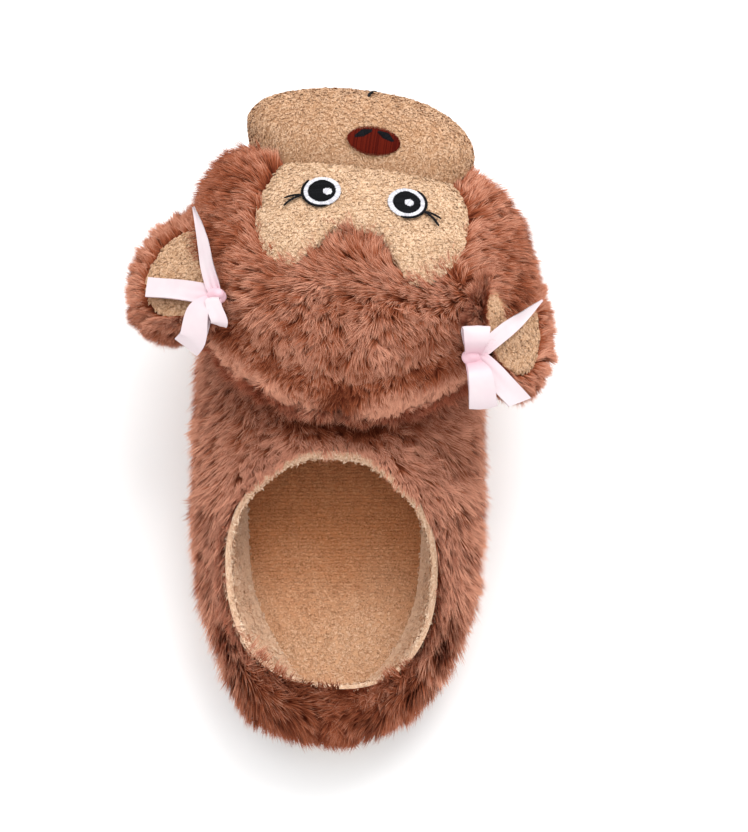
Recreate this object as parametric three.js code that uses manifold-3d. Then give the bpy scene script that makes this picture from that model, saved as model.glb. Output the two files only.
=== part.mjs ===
// A plush house slipper for the left foot with a monkey's head on the toe.
// Frame: millimetres, +Z up, +Y from heel to toe, +X to the wearer's right. The origin is on the floor,
// under the middle of the outsole. The head has a frame of its own, turned and tipped on the vamp.
import * as THREE from "three";
import { mergeVertices } from "three/addons/utils/BufferGeometryUtils.js";
import Module from "manifold-3d";

const wasm = await Module();
wasm.setup();

// Fit between pieces that meet.
const FIT_GAP = 0.3;

// Sole and footbed.
const SOLE_LENGTH = 254;
const BALL_WIDTH = 103;
const HEEL_ARC = 64;
const TOE_ARC = 78;
const OUTSOLE_THICK = 9;
const OUTSOLE_EDGE_ROUND = 2;
const TOE_SPRING = 4;
const TOE_SPRING_LENGTH = 45;
const HEEL_SPRING = 1.5;
const HEEL_SPRING_LENGTH = 24;
const INSOLE_THICK = 7;
const INSOLE_CROWN = 2.5;
const INSOLE_GAP = 0.6;

// Upper. Its outer face is the mean surface of the fur.
const UPPER_WALL = 9;
const HEEL_PADDING = 13;
const TOE_PADDING = 4;
const HEEL_PADDING_END = 0.4;
const TOE_PADDING_START = 0.65;
const FUR_OVERHANG = 9;
const HEM_OVERHANG = 2;
const BULGE_HEIGHT = 26;
const INSTEP_HEIGHT = 70;
const SECTION_ROUND = 2.4;

// Collar opening, seen from above.
const COLLAR_LENGTH = 88;
const COLLAR_WIDTH = 83;
const COLLAR_BACK = 18;
const COLLAR_OFFSET = -2.9;
const COLLAR_EGG = -0.07;
const COLLAR_SKEW = 0.05;
const COLLAR_ROUND = 2.3;
const LIP_ROLL = 5;
const LIP_FRONT_SHARE = 0.25;

// Head pillow.
const HEAD_WIDTH = 140;
const HEAD_LENGTH = 132;
const HEAD_RISE = 35;
const HEAD_DROP = 24;
const HEAD_ACROSS = 8;
const HEAD_SETBACK = 85;
const HEAD_LIFT = 2;
const HEAD_YAW_DEG = -8.5;
const HEAD_PITCH_DEG = -11;
const PILLOW_FULLNESS = 0.8;
const SEAM_TROUGH = 3;
const NOTCH_DEPTH = 5;

// Muzzle pad, placed in the head's frame, behind the head's front.
const MUZZLE_WIDTH = 92;
const MUZZLE_LENGTH = 66;
const MUZZLE_DEPTH = 54;
const MUZZLE_ACROSS = -8;
const MUZZLE_SETBACK = 10.5;
const MUZZLE_UP = 10;
const MUZZLE_TILT_DEG = 56;
const MUZZLE_FULLNESS = 0.76;

// Terry and embroidery laid on the head.
const PATCH_THICK = 1.5;
const EMBROIDERY_THICK = 1;
const FACE_ACROSS = -1.5;
const EYE_DIAMETER = 15;
const EYE_SPACING = 33.6;
const EYE_FORWARD = 17;
const NOSE_WIDTH = 21;
const NOSE_HEIGHT = 12;
const NOSE_TURN_DEG = 81;

// Ears.
const EAR_REACH = 27;
const EAR_LENGTH = 66;
const EAR_THICK = 13;
const EAR_CUP = 5;
const EAR_OUT_SHARE = 0.25;
const EAR_PATCH_SHARE = 0.62;

// Ribbon bows.
const RIBBON_WIDTH = 9.5;
const RIBBON_THICK = 0.9;
const RIBBON_LIFT = 2.6;
const RIBBON_SAG = 0.4;
const KNOT_SIZE = 9;
const KNOT_SINK = 2.2;
const KNOT_BLEND = 0.3;
const TAIL_REACH = 42;
const TAIL_RISE = 4;
const LOOP_REACH = 21;
const LOOP_HEIGHT = 5;
const MAX_SLOPE = 1.3;
const RIBBON_STEPS = 7;

// Locks of fur fused on the plush pieces.
const LOCK_LENGTH = 16;
const LOCK_WIDTH = 10;
const LOCK_THICK = 5;
const LOCK_TILT_DEG = 20;
const LOCK_PITCH = 22;
const LOCK_CLEARANCE = 1;

// Widths along the sole, as shares: place from heel to toe, width of the ball's width, and swing to +X.
const SOLE_STATIONS = [
  { at: 0.0, wide: 0.82, swing: -0.025 },
  { at: 0.12, wide: 0.89, swing: -0.005 },
  { at: 0.3, wide: 0.98, swing: 0.0 },
  { at: 0.5, wide: 0.99, swing: 0.0 },
  { at: 0.68, wide: 1.0, swing: 0.03 },
  { at: 1.0, wide: 0.96, swing: 0.08 },
];

// Height of the fur surface along the middle, as a share of the instep height.
const CREST_STATIONS = [
  { at: 0.0, high: 0.88 },
  { at: 0.2, high: 0.91 },
  { at: 0.4, high: 1.0 },
  { at: 0.62, high: 0.95 },
  { at: 0.8, high: 0.84 },
  { at: 1.0, high: 0.74 },
];

// The head's plan: how far out it reaches, as a share of its oval, by compass turn from the front to +X.
const HEAD_PLAN = [
  { at: 0.0, out: 1.03 },
  { at: 0.125, out: 1.03 },
  { at: 0.25, out: 1.0 },
  { at: 0.375, out: 0.93 },
  { at: 0.5, out: 0.99 },
  { at: 0.625, out: 0.99 },
  { at: 0.75, out: 1.0 },
  { at: 0.875, out: 1.13 },
  { at: 1.0, out: 1.03 },
];

// A bow's loop: reach from the knot, height as a share of the loop's height, and width.
const LOOP_ROWS = [
  { out: 0.0, up: 0.0, wide: 0.5 },
  { out: 0.45, up: 0.0, wide: 0.95 },
  { out: 0.9, up: 0.05, wide: 1.1 },
  { out: 1.0, up: 0.5, wide: 1.15 },
  { out: 0.9, up: 0.95, wide: 1.1 },
  { out: 0.45, up: 1.0, wide: 0.95 },
  { out: 0.0, up: 0.5, wide: 0.5 },
];

// Outline of the face patch, as shares of half the head's width and half its length.
const PATCH_OUTLINE = [
  { across: 0.0, along: 0.03 },
  { across: 0.1, along: 0.0 },
  { across: 0.2, along: -0.13 },
  { across: 0.33, along: -0.24 },
  { across: 0.47, along: -0.18 },
  { across: 0.575, along: 0.04 },
  { across: 0.575, along: 0.34 },
  { across: 0.44, along: 0.58 },
  { across: 0.2, along: 0.7 },
];

// Each ear: its root as shares of the head's half width, half length and rise, and its droop.
const EARS = {
  left: { across: -0.83, along: -0.21, up: 0.23, droopDeg: 24 },
  right: { across: 0.76, along: -0.24, up: 0.29, droopDeg: 50 },
};

// The ribbons of each bow, by compass bearing from the knot in the head's frame. The reach, rise and
// height are shares of the longest tail's and loop's, and "wide" is a share of the ribbon's width.
// A tail lies along the plush; a loop leaves the knot, turns over and comes back above itself.
const BOWS = {
  left: {
    knot: { across: -0.73, along: -0.45 },
    tails: [
      { bearing: -76, reach: 0.74, wide: 1, rise: 0 },
      { bearing: -17, reach: 1, wide: 0.55, rise: 1 },
    ],
    loops: [
      { bearing: -154, reach: 1, height: 1 },
      { bearing: 178, reach: 0.52, height: 0.8 },
    ],
  },
  right: {
    knot: { across: 0.725, along: -0.64 },
    tails: [
      { bearing: 24, reach: 1, wide: 0.6, rise: 1 },
      { bearing: 125, reach: 0.55, wide: 1, rise: 0 },
    ],
    loops: [
      { bearing: 164, reach: 1, height: 1 },
      { bearing: -16, reach: 0.46, height: 1 },
    ],
  },
};

// Rows of locks round the upper, each at a height on the wall. The nap runs back and down.
const UPPER_LOCK_ROWS = [
  { height: -0.45, offset: 0 },
  { height: 0.15, offset: 0.5 },
  { height: 0.55, offset: 0 },
];

// Rows of locks on the head, by compass angle from its front and by height, kept off what is sewn on it.
const HEAD_LOCK_ROWS = [
  { level: 0.05, from: 55, to: 305, count: 17 },
  { level: 0.4, from: 65, to: 295, count: 14 },
  { level: 0.72, from: 85, to: 275, count: 9 },
];

const rad = THREE.MathUtils.degToRad;
const heelY = -SOLE_LENGTH / 2;
const heelArcEnd = heelY + HEEL_ARC;
const toeArcStart = SOLE_LENGTH / 2 - TOE_ARC;
const HEEL_STEPS = 7;
const SIDE_STEPS = 6;
const TOE_STEPS = 7;
const stepsPerSide = HEEL_STEPS + SIDE_STEPS + TOE_STEPS;
const edgeCount = 2 * stepsPerSide;
const PATH_STEPS = 6;
const OVAL_SEGMENTS = 10;

// Smooth curve through one column of a table whose rows are in order of "at".
function fromTable(table, column, at) {
  const last = table.length - 1;
  let i = 0;
  while (i < last - 1 && at > table[i + 1].at) i++;
  const slope = (k) => {
    const a = table[Math.max(0, k - 1)];
    const b = table[Math.min(last, k + 1)];
    return (b[column] - a[column]) / (b.at - a.at);
  };
  const span = table[i + 1].at - table[i].at;
  const t = THREE.MathUtils.clamp((at - table[i].at) / span, 0, 1);
  const t2 = t * t;
  const t3 = t2 * t;
  return (
    (2 * t3 - 3 * t2 + 1) * table[i][column] +
    (t3 - 2 * t2 + t) * span * slope(i) +
    (3 * t2 - 2 * t3) * table[i + 1][column] +
    (t3 - t2) * span * slope(i + 1)
  );
}

const shareAlong = (y) => THREE.MathUtils.clamp((y - heelY) / SOLE_LENGTH, 0, 1);
const halfWidth = (y) => (BALL_WIDTH / 2) * fromTable(SOLE_STATIONS, "wide", shareAlong(y));
const swing = (y) => BALL_WIDTH * fromTable(SOLE_STATIONS, "swing", shareAlong(y));
const crest = (y) => INSTEP_HEIGHT * fromTable(CREST_STATIONS, "high", shareAlong(y));

// Lift of the sole's two ends above the floor.
function spring(y) {
  const toe = Math.max(0, 1 - (SOLE_LENGTH / 2 - y) / TOE_SPRING_LENGTH);
  const heel = Math.max(0, 1 - (y - heelY) / HEEL_SPRING_LENGTH);
  return TOE_SPRING * toe * toe + HEEL_SPRING * heel * heel;
}

// A point of the plan outline, grown outwards. "way" runs 0 to 1 from heel to toe on one side:
// a third of it on the heel's arc, a third on the side and a third on the toe's arc. side is 1 at +X.
function edgePoint(way, side, grow) {
  const third = way * 3;
  let y, cap;
  if (third < 1) {
    const angle = (third * Math.PI) / 2;
    y = heelArcEnd - (HEEL_ARC + grow) * Math.cos(angle);
    cap = Math.sin(angle);
  } else if (third <= 2) {
    y = THREE.MathUtils.lerp(heelArcEnd, toeArcStart, third - 1);
    cap = 1;
  } else {
    const angle = ((3 - third) * Math.PI) / 2;
    y = toeArcStart + (TOE_ARC + grow) * Math.cos(angle);
    cap = Math.sin(angle);
  }
  return new THREE.Vector2(swing(y) + side * (halfWidth(y) + grow) * cap, y);
}

// The outline's points in order: heel, up the +X side, toe, and back down the -X side.
const edgeWays = Array.from({ length: edgeCount }, (_, k) => {
  const step = k <= stepsPerSide ? k : edgeCount - k;
  let third = step / HEEL_STEPS;
  if (step > HEEL_STEPS) third = 1 + (step - HEEL_STEPS) / SIDE_STEPS;
  if (step > HEEL_STEPS + SIDE_STEPS) third = 2 + (step - HEEL_STEPS - SIDE_STEPS) / TOE_STEPS;
  return { way: third / 3, side: k <= stepsPerSide ? 1 : -1 };
});

// How far out a plan point lies: 0 on the middle line, 1 on the outline grown by "grow".
function shareOut(x, y, grow) {
  const across = (x - swing(y)) / (halfWidth(y) + grow);
  let along = 0;
  if (y < heelArcEnd) along = (heelArcEnd - y) / (HEEL_ARC + grow);
  if (y > toeArcStart) along = (y - toeArcStart) / (TOE_ARC + grow);
  return Math.min(1, Math.hypot(across, along));
}

// Height of the upper's rounded top over a plan point. "inset" is 0 outside and the wall inside.
function domeHeight(x, y, inset) {
  const out = shareOut(x, y, FUR_OVERHANG - inset);
  const arch = Math.pow(1 - Math.pow(out, SECTION_ROUND), 1 / SECTION_ROUND);
  return BULGE_HEIGHT + (crest(y) - inset - BULGE_HEIGHT) * arch;
}

const collarBackY = heelY - FUR_OVERHANG + COLLAR_BACK;
const collarCentre = new THREE.Vector2(COLLAR_OFFSET, collarBackY + COLLAR_LENGTH / 2);

// The collar's edge in plan, in the direction of a given outline point.
function collarPoint(towards) {
  const angle = Math.atan2(towards.y - collarCentre.y, towards.x - collarCentre.x);
  const c = Math.cos(angle);
  const s = Math.sin(angle);
  const squared = (v) => Math.sign(v) * Math.pow(Math.abs(v), 2 / COLLAR_ROUND);
  const x = (COLLAR_WIDTH / 2) * squared(c) * (1 - COLLAR_EGG * s);
  const y = (COLLAR_LENGTH / 2) * squared(s) - COLLAR_SKEW * x;
  return new THREE.Vector2(collarCentre.x + x, collarCentre.y + y);
}

// One line up the upper's wall, from the bulge to the collar. inset 0 is the fur, the wall is the lining.
function wallLine(way, side, inset) {
  const foot = edgePoint(way, side, FUR_OVERHANG - inset);
  const rim = collarPoint(edgePoint(way, side, FUR_OVERHANG));
  return (t) => {
    const plan = foot.clone().lerp(rim, 1 - Math.cos((t * Math.PI) / 2));
    const lift = spring(plan.y) * (1 - t);
    return new THREE.Vector3(plan.x, plan.y, domeHeight(plan.x, plan.y, inset) + lift);
  };
}

const seatHeight = OUTSOLE_THICK + FIT_GAP;
const hemGrow = (share) => THREE.MathUtils.lerp(HEM_OVERHANG, FUR_OVERHANG, Math.sin((share * Math.PI) / 2));

// How far inside the fur the lining lies below the bulge, where it is padded down to the footbed.
// The padding is deep round the heel and thin round the toes.
function liningInset(share, way) {
  const forward = THREE.MathUtils.smoothstep(way, HEEL_PADDING_END, TOE_PADDING_START);
  return UPPER_WALL + THREE.MathUtils.lerp(HEEL_PADDING, TOE_PADDING, forward) * (1 - share);
}

// The part of the wall below the bulge. "share" runs from 0 at the outsole to 1 at the bulge.
function hemPoint(way, side, inset, share) {
  const plan = edgePoint(way, side, hemGrow(share) - inset);
  const z = THREE.MathUtils.lerp(seatHeight, BULGE_HEIGHT, share) + spring(plan.y);
  return new THREE.Vector3(plan.x, plan.y, z);
}

// The profile bends at this share, level with the footbed's upper edge.
const footbedShare = (INSOLE_THICK - INSOLE_CROWN) / (BULGE_HEIGHT - seatHeight);

// The outer profile at one place round the upper, from the hem up to the collar.
function outerProfile({ way, side }, grow) {
  const line = wallLine(way, side, -grow);
  const points = [0, footbedShare, 0.6].map((share) => hemPoint(way, side, -grow, share));
  for (let k = 0; k <= PATH_STEPS; k++) points.push(line(k / PATH_STEPS));
  return points;
}

// The inner profile, from the collar down to the footbed.
function innerProfile({ way, side }) {
  const line = wallLine(way, side, UPPER_WALL);
  const steps = PATH_STEPS - 1;
  const points = [];
  for (let k = steps; k >= 0; k--) points.push(line(k / steps));
  for (const share of [footbedShare, 0]) {
    points.push(hemPoint(way, side, liningInset(share, way), share));
  }
  return points;
}

// The middle of the rolled lip, pushed into the opening most at the back and sides.
function lipPoint(outer, inner) {
  const middle = outer.clone().lerp(inner, 0.5);
  const inward = new THREE.Vector2(collarCentre.x - middle.x, collarCentre.y - middle.y);
  const front = THREE.MathUtils.clamp(-inward.y / (COLLAR_LENGTH / 2), 0, 1);
  inward.setLength(LIP_ROLL * THREE.MathUtils.lerp(1, LIP_FRONT_SHARE, front));
  return middle.add(new THREE.Vector3(inward.x, inward.y, 0));
}

function geometryOf(points, indices) {
  const flat = points.flatMap((p) => [p.x, p.y, p.z]);
  return new THREE.BufferGeometry()
    .setAttribute("position", new THREE.Float32BufferAttribute(flat, 3))
    .setIndex(indices);
}

// Joins profiles of equal length into a band. Profiles run round a closed ring.
// "closed" also joins the last point of each profile to its first.
function bandIndices(profiles, length, closed) {
  const indices = [];
  for (let i = 0; i < profiles; i++) {
    const next = (i + 1) % profiles;
    for (let j = 0; j < (closed ? length : length - 1); j++) {
      const up = (j + 1) % length;
      const a = i * length + j;
      const b = next * length + j;
      const c = next * length + up;
      const d = i * length + up;
      indices.push(a, b, c, a, c, d);
    }
  }
  return indices;
}

// A ladder of faces across an outline, between points of equal "way" on the two sides.
function ladderIndices(index, upward) {
  const indices = [];
  const half = edgeCount / 2;
  const face = (a, b, c) => indices.push(...(upward ? [a, b, c] : [a, c, b]));
  face(index(0), index(1), index(edgeCount - 1));
  for (let k = 1; k < half - 1; k++) {
    face(index(k), index(k + 1), index(edgeCount - k - 1));
    face(index(k), index(edgeCount - k - 1), index(edgeCount - k));
  }
  face(index(half - 1), index(half), index(half + 1));
  return indices;
}

// A solid from a closed geometry, for cutting and joining.
function solidOf(geometry) {
  const bare = geometry.clone();
  for (const name of ["normal", "uv"]) bare.deleteAttribute(name);
  const merged = mergeVertices(bare, 1e-4);
  return new wasm.Manifold(
    new wasm.Mesh({
      numProp: 3,
      vertProperties: new Float32Array(merged.attributes.position.array),
      triVerts: new Uint32Array(merged.index.array),
    }),
  );
}

function geometryFromSolid(solid) {
  const mesh = solid.getMesh();
  const points = [];
  for (let i = 0; i < mesh.numVert; i++) {
    const at = i * mesh.numProp;
    points.push(new THREE.Vector3().fromArray(mesh.vertProperties, at));
  }
  return geometryOf(points, Array.from(mesh.triVerts));
}

const joined = (solids) => solids.reduce((sum, solid) => sum.add(solid));

// Layers of the outline stacked into a closed solid, such as a sole: each has its height and its growth,
// a function of the place along the outline.
function stackedSolid(layers) {
  const points = edgeWays.flatMap(({ way, side }) =>
    layers.map(({ grow, up }) => {
      const plan = edgePoint(way, side, grow(way));
      return new THREE.Vector3(plan.x, plan.y, up + spring(plan.y));
    }),
  );
  const top = layers.length - 1;
  const indices = [
    ...bandIndices(edgeCount, layers.length, false),
    ...ladderIndices((k) => k * layers.length, false),
    ...ladderIndices((k) => k * layers.length + top, true),
  ];
  return solidOf(geometryOf(points, indices));
}

function makeOutsole() {
  const round = OUTSOLE_EDGE_ROUND;
  return stackedSolid([
    { grow: () => -round, up: 0 },
    { grow: () => -0.3 * round, up: 0.3 * round },
    { grow: () => 0, up: round },
    { grow: () => 0, up: OUTSOLE_THICK - round },
    { grow: () => -round, up: OUTSOLE_THICK },
  ]);
}

function makeInsole() {
  const fit = (share) => (way) => hemGrow(share) - liningInset(share, way) - INSOLE_GAP;
  const brow = fit(footbedShare);
  return stackedSolid([
    { grow: fit(0), up: seatHeight },
    { grow: brow, up: seatHeight + INSOLE_THICK - INSOLE_CROWN },
    { grow: (way) => brow(way) - 3 * INSOLE_CROWN, up: seatHeight + INSOLE_THICK },
  ]);
}

// The upper: a band whose profile runs up the fur, round the lip and down the lining.
function makeUpperShell() {
  let length = 0;
  const points = edgeWays.flatMap((place) => {
    const outer = outerProfile(place, 0);
    const inner = innerProfile(place);
    const profile = [...outer, lipPoint(outer[outer.length - 1], inner[0]), ...inner];
    length = profile.length;
    return profile;
  });
  return solidOf(geometryOf(points, bandIndices(edgeCount, length, true)));
}

// The upper's outer form as a filled solid, grown a little: what sits on the vamp is cut by it.
function filledUpper(grow) {
  let length = 0;
  const points = edgeWays.flatMap((place) => {
    const profile = outerProfile(place, grow);
    length = profile.length;
    return profile;
  });
  const hub = points.length;
  points.push(new THREE.Vector3(collarCentre.x, collarCentre.y, INSTEP_HEIGHT));
  const indices = [
    ...bandIndices(edgeCount, length, false),
    ...ladderIndices((k) => k * length, false),
  ];
  for (let k = 0; k < edgeCount; k++) {
    indices.push(k * length + length - 1, ((k + 1) % edgeCount) * length + length - 1, hub);
  }
  return solidOf(geometryOf(points, indices));
}

// The head's frame: behind the toe and over the instep, turned about Z, then tipped forward.
const headFrame = new THREE.Matrix4()
  .makeRotationZ(rad(HEAD_YAW_DEG))
  .multiply(new THREE.Matrix4().makeRotationX(rad(HEAD_PITCH_DEG)))
  .setPosition(HEAD_ACROSS, SOLE_LENGTH / 2 - HEAD_SETBACK, INSTEP_HEIGHT + HEAD_LIFT);

// How far the head's plan reaches past its oval towards a place.
function planReach(x, y) {
  const turn = Math.atan2(x, y) / (2 * Math.PI);
  return fromTable(HEAD_PLAN, "out", turn < 0 ? turn + 1 : turn);
}

// The pillow's surface in its own frame, for a unit direction, grown by "grow".
function headPoint(direction, grow) {
  const { x, y, z } = direction;
  const level = Math.sign(z) * Math.pow(Math.abs(z), PILLOW_FULLNESS);
  const out = Math.hypot(x, y);
  const reach = planReach(x, y);
  const crown = THREE.MathUtils.clamp(-y / Math.max(out, 1e-6) + 0.35, 0, 1);
  const trough = z > 0 ? SEAM_TROUGH * crown * Math.exp(-(((out - 0.87) / 0.07) ** 2)) : 0;
  const notch = y < 0 ? NOTCH_DEPTH * Math.exp(-((x / 0.07) ** 2)) * Math.max(0, -y) ** 3 : 0;
  const high = z > 0 ? HEAD_RISE : HEAD_DROP;
  return new THREE.Vector3(
    ((HEAD_WIDTH / 2) * reach + grow) * x,
    ((HEAD_LENGTH / 2) * reach + grow - notch) * y,
    (high + grow) * level - trough,
  );
}

// Shares of the head's plan at a place in its own frame, and how far out of the plan it lies.
function headShares(x, y) {
  const u = x / (HEAD_WIDTH / 2);
  const v = y / (HEAD_LENGTH / 2);
  const reach = planReach(u, v);
  return { u: u / reach, v: v / reach, out: Math.hypot(u, v) / reach };
}

// Height of the pillow's top over a place in its own frame.
function headTop(x, y) {
  const { u, v, out } = headShares(x, y);
  if (out >= 1) return -HEAD_DROP;
  return headPoint(new THREE.Vector3(u, v, Math.sqrt(1 - out * out)), 0).z;
}

// A sphere's vertices moved by "shape", which takes a unit direction and gives a point.
function blob(around, upward, shape) {
  const sphere = new THREE.SphereGeometry(1, around, upward);
  sphere.rotateX(Math.PI / 2);
  const position = sphere.getAttribute("position");
  const direction = new THREE.Vector3();
  for (let i = 0; i < position.count; i++) {
    direction.fromBufferAttribute(position, i).normalize();
    const p = shape(direction);
    position.setXYZ(i, p.x, p.y, p.z);
  }
  return sphere;
}

const headBlob = (grow) =>
  solidOf(blob(30, 15, (d) => headPoint(d, grow)).applyMatrix4(headFrame));

// A flat outline pulled into a tall prism along the frame's own Z, to cut a patch from a shell.
function cutter(shape, frame, height, curveSegments) {
  const prism = new THREE.ExtrudeGeometry(shape, { depth: height, bevelEnabled: false, curveSegments });
  return solidOf(prism.applyMatrix4(frame));
}

// The face patch: a shell a little proud of the head, cut to the two-lobed outline.
function makeFacePatch() {
  const half = PATCH_OUTLINE.map(({ across, along }) => [
    (across * HEAD_WIDTH) / 2,
    (along * HEAD_LENGTH) / 2,
  ]);
  const right = half.map(([x, y]) => new THREE.Vector2(FACE_ACROSS + x, y));
  const left = half
    .slice(1)
    .reverse()
    .map(([x, y]) => new THREE.Vector2(FACE_ACROSS - x, y));
  const outline = new THREE.Shape();
  outline.moveTo(right[0].x, right[0].y);
  outline.splineThru([...right.slice(1), ...left, right[0].clone()]);
  const shell = headBlob(FIT_GAP + PATCH_THICK).subtract(headBlob(FIT_GAP));
  return shell.intersect(cutter(outline, headFrame, 2 * HEAD_RISE, 3));
}

const patchTop = FIT_GAP + PATCH_THICK;

function oval(width, height) {
  return new THREE.Shape().absellipse(0, 0, width / 2, height / 2, 0, 2 * Math.PI);
}

function makeEye(side) {
  const shell = headBlob(patchTop + FIT_GAP + EMBROIDERY_THICK).subtract(headBlob(patchTop + FIT_GAP));
  const frame = headFrame
    .clone()
    .multiply(new THREE.Matrix4().makeTranslation(FACE_ACROSS + (side * EYE_SPACING) / 2, EYE_FORWARD, 0));
  return shell.intersect(cutter(oval(EYE_DIAMETER, EYE_DIAMETER), frame, 2 * HEAD_RISE, OVAL_SEGMENTS));
}

// The muzzle's frame: its Y runs from the seam on the face down to the chin, and its Z points forward.
const muzzleFrame = headFrame
  .clone()
  .multiply(
    new THREE.Matrix4().makeTranslation(MUZZLE_ACROSS, HEAD_LENGTH / 2 - MUZZLE_SETBACK, MUZZLE_UP),
  )
  .multiply(new THREE.Matrix4().makeRotationX(-rad(MUZZLE_TILT_DEG)));

function muzzlePoint({ x, y, z }, grow) {
  const wide = Math.sign(x) * Math.pow(Math.abs(x), MUZZLE_FULLNESS);
  return new THREE.Vector3(
    (MUZZLE_WIDTH / 2 + grow) * wide,
    (MUZZLE_LENGTH / 2 + grow) * y,
    (MUZZLE_DEPTH / 2 + grow) * z,
  );
}

const muzzleBlob = (grow) =>
  solidOf(blob(24, 13, (d) => muzzlePoint(d, grow)).applyMatrix4(muzzleFrame));

// The nose looks up from the muzzle, towards the wearer.
function makeNose() {
  const shell = muzzleBlob(FIT_GAP + EMBROIDERY_THICK).subtract(muzzleBlob(FIT_GAP));
  const frame = muzzleFrame
    .clone()
    .multiply(new THREE.Matrix4().makeTranslation(FACE_ACROSS - MUZZLE_ACROSS, 0, 0))
    .multiply(new THREE.Matrix4().makeRotationX(rad(NOSE_TURN_DEG)));
  return shell.intersect(cutter(oval(NOSE_WIDTH, NOSE_HEIGHT), frame, MUZZLE_LENGTH, OVAL_SEGMENTS));
}

function earFrame(name) {
  const ear = EARS[name];
  const side = Math.sign(ear.across);
  return headFrame
    .clone()
    .multiply(
      new THREE.Matrix4().makeTranslation(
        (ear.across * HEAD_WIDTH) / 2,
        (ear.along * HEAD_LENGTH) / 2,
        ear.up * HEAD_RISE,
      ),
    )
    .multiply(new THREE.Matrix4().makeRotationY(rad(side * ear.droopDeg)))
    .multiply(new THREE.Matrix4().makeTranslation(side * EAR_REACH * EAR_OUT_SHARE, 0, 0));
}

// A flat oval ear whose rim turns up a little.
function earPoint({ x, y, z }, grow) {
  const level = Math.sign(z) * Math.pow(Math.abs(z), PILLOW_FULLNESS);
  const rim = (x * x + y * y) * EAR_CUP;
  return new THREE.Vector3(
    (EAR_REACH + grow) * x,
    (EAR_LENGTH / 2 + grow) * y,
    (EAR_THICK / 2 + grow) * level + rim,
  );
}

const earBlob = (name, grow) =>
  solidOf(blob(18, 9, (d) => earPoint(d, grow)).applyMatrix4(earFrame(name)));

function makeEarPatch(name) {
  const shell = earBlob(name, FIT_GAP + PATCH_THICK).subtract(earBlob(name, FIT_GAP));
  const shape = oval(2 * EAR_REACH * EAR_PATCH_SHARE, EAR_LENGTH * EAR_PATCH_SHARE);
  const patch = shell.intersect(cutter(shape, earFrame(name), 2 * EAR_THICK, OVAL_SEGMENTS));
  return patch.subtract(headBlob(2 * FIT_GAP));
}

// A lock of fur: a flat spindle whose root is sunk in the surface and whose tip leaves it along the nap.
function lock(point, normal, nap, scale = 1) {
  const flat = nap.clone().addScaledVector(normal, -nap.dot(normal)).normalize();
  const tilt = rad(LOCK_TILT_DEG);
  const axis = flat.clone().multiplyScalar(Math.cos(tilt)).addScaledVector(normal, Math.sin(tilt));
  const side = new THREE.Vector3().crossVectors(axis, normal).normalize();
  const thick = new THREE.Vector3().crossVectors(side, axis);
  const spindle = new THREE.OctahedronGeometry(scale / 2);
  spindle.translate(0, scale * 0.15, 0);
  spindle.scale(LOCK_WIDTH, LOCK_LENGTH, LOCK_THICK);
  const basis = new THREE.Matrix4().makeBasis(side, axis, thick).setPosition(point);
  return solidOf(spindle.applyMatrix4(basis));
}

// Normal of a surface given by a function of two numbers, turned away from "inside".
function surfaceNormal(surface, u, v, inside) {
  const step = 1e-3;
  const du = surface(u + step, v).sub(surface(u - step, v));
  const dv = surface(u, v + step).sub(surface(u, v - step));
  const normal = du.cross(dv).normalize();
  const out = surface(u, v).sub(inside);
  return normal.dot(out) < 0 ? normal.negate() : normal;
}

// The locks that stay clear of a solid.
const clearOf = (locks, solid) => locks.filter((one) => one.intersect(solid).isEmpty());

function upperLocks() {
  const locks = [];
  const girth = 2 * SOLE_LENGTH + BALL_WIDTH;
  const count = Math.round(girth / LOCK_PITCH / 2) * 2;
  for (const { height, offset } of UPPER_LOCK_ROWS) {
    for (let k = 0; k < count; k++) {
      const turn = ((k + offset + 0.25) / count) * 2;
      const side = turn < 1 ? 1 : -1;
      const surface = (way, t) =>
        t < 0 ? hemPoint(way, side, 0, 1 + t) : wallLine(way, side, 0)(t);
      const way = THREE.MathUtils.clamp(turn < 1 ? turn : 2 - turn, 0.01, 0.99);
      const point = surface(way, height);
      const inside = new THREE.Vector3(swing(point.y), point.y * 0.8, BULGE_HEIGHT);
      const normal = surfaceNormal(surface, way, height, inside);
      locks.push(lock(point, normal, new THREE.Vector3(0, -0.8, -0.6)));
    }
  }
  return locks;
}

function headLocks() {
  const locks = [];
  for (const { level, from, to, count } of HEAD_LOCK_ROWS) {
    for (let k = 0; k < count; k++) {
      const compass = rad(THREE.MathUtils.lerp(from, to, k / (count - 1)));
      const surface = (turn, high) => {
        const out = Math.sqrt(1 - high * high);
        const direction = new THREE.Vector3(Math.sin(turn) * out, Math.cos(turn) * out, high);
        return headPoint(direction, 0).applyMatrix4(headFrame);
      };
      const point = surface(compass, level);
      const centre = new THREE.Vector3().setFromMatrixPosition(headFrame);
      const normal = surfaceNormal(surface, compass, level, centre);
      const nap = new THREE.Vector3(Math.sin(compass), Math.cos(compass), -0.3);
      locks.push(lock(point, normal, nap.transformDirection(headFrame)));
    }
  }
  return locks;
}

// Locks that fringe an ear's rim, from its outer edge round to both ends.
function earLocks(name) {
  const side = Math.sign(EARS[name].across);
  const frame = earFrame(name);
  const count = 8;
  return Array.from({ length: count }, (_, k) => {
    const turn = rad(THREE.MathUtils.lerp(-80, 80, k / (count - 1)));
    const direction = new THREE.Vector3(side * Math.cos(turn), Math.sin(turn), 0);
    const point = earPoint(direction, -2).applyMatrix4(frame);
    const normal = new THREE.Vector3(0, 0, -1).transformDirection(frame);
    return lock(point, normal, direction.transformDirection(frame), 0.8);
  });
}

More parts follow.
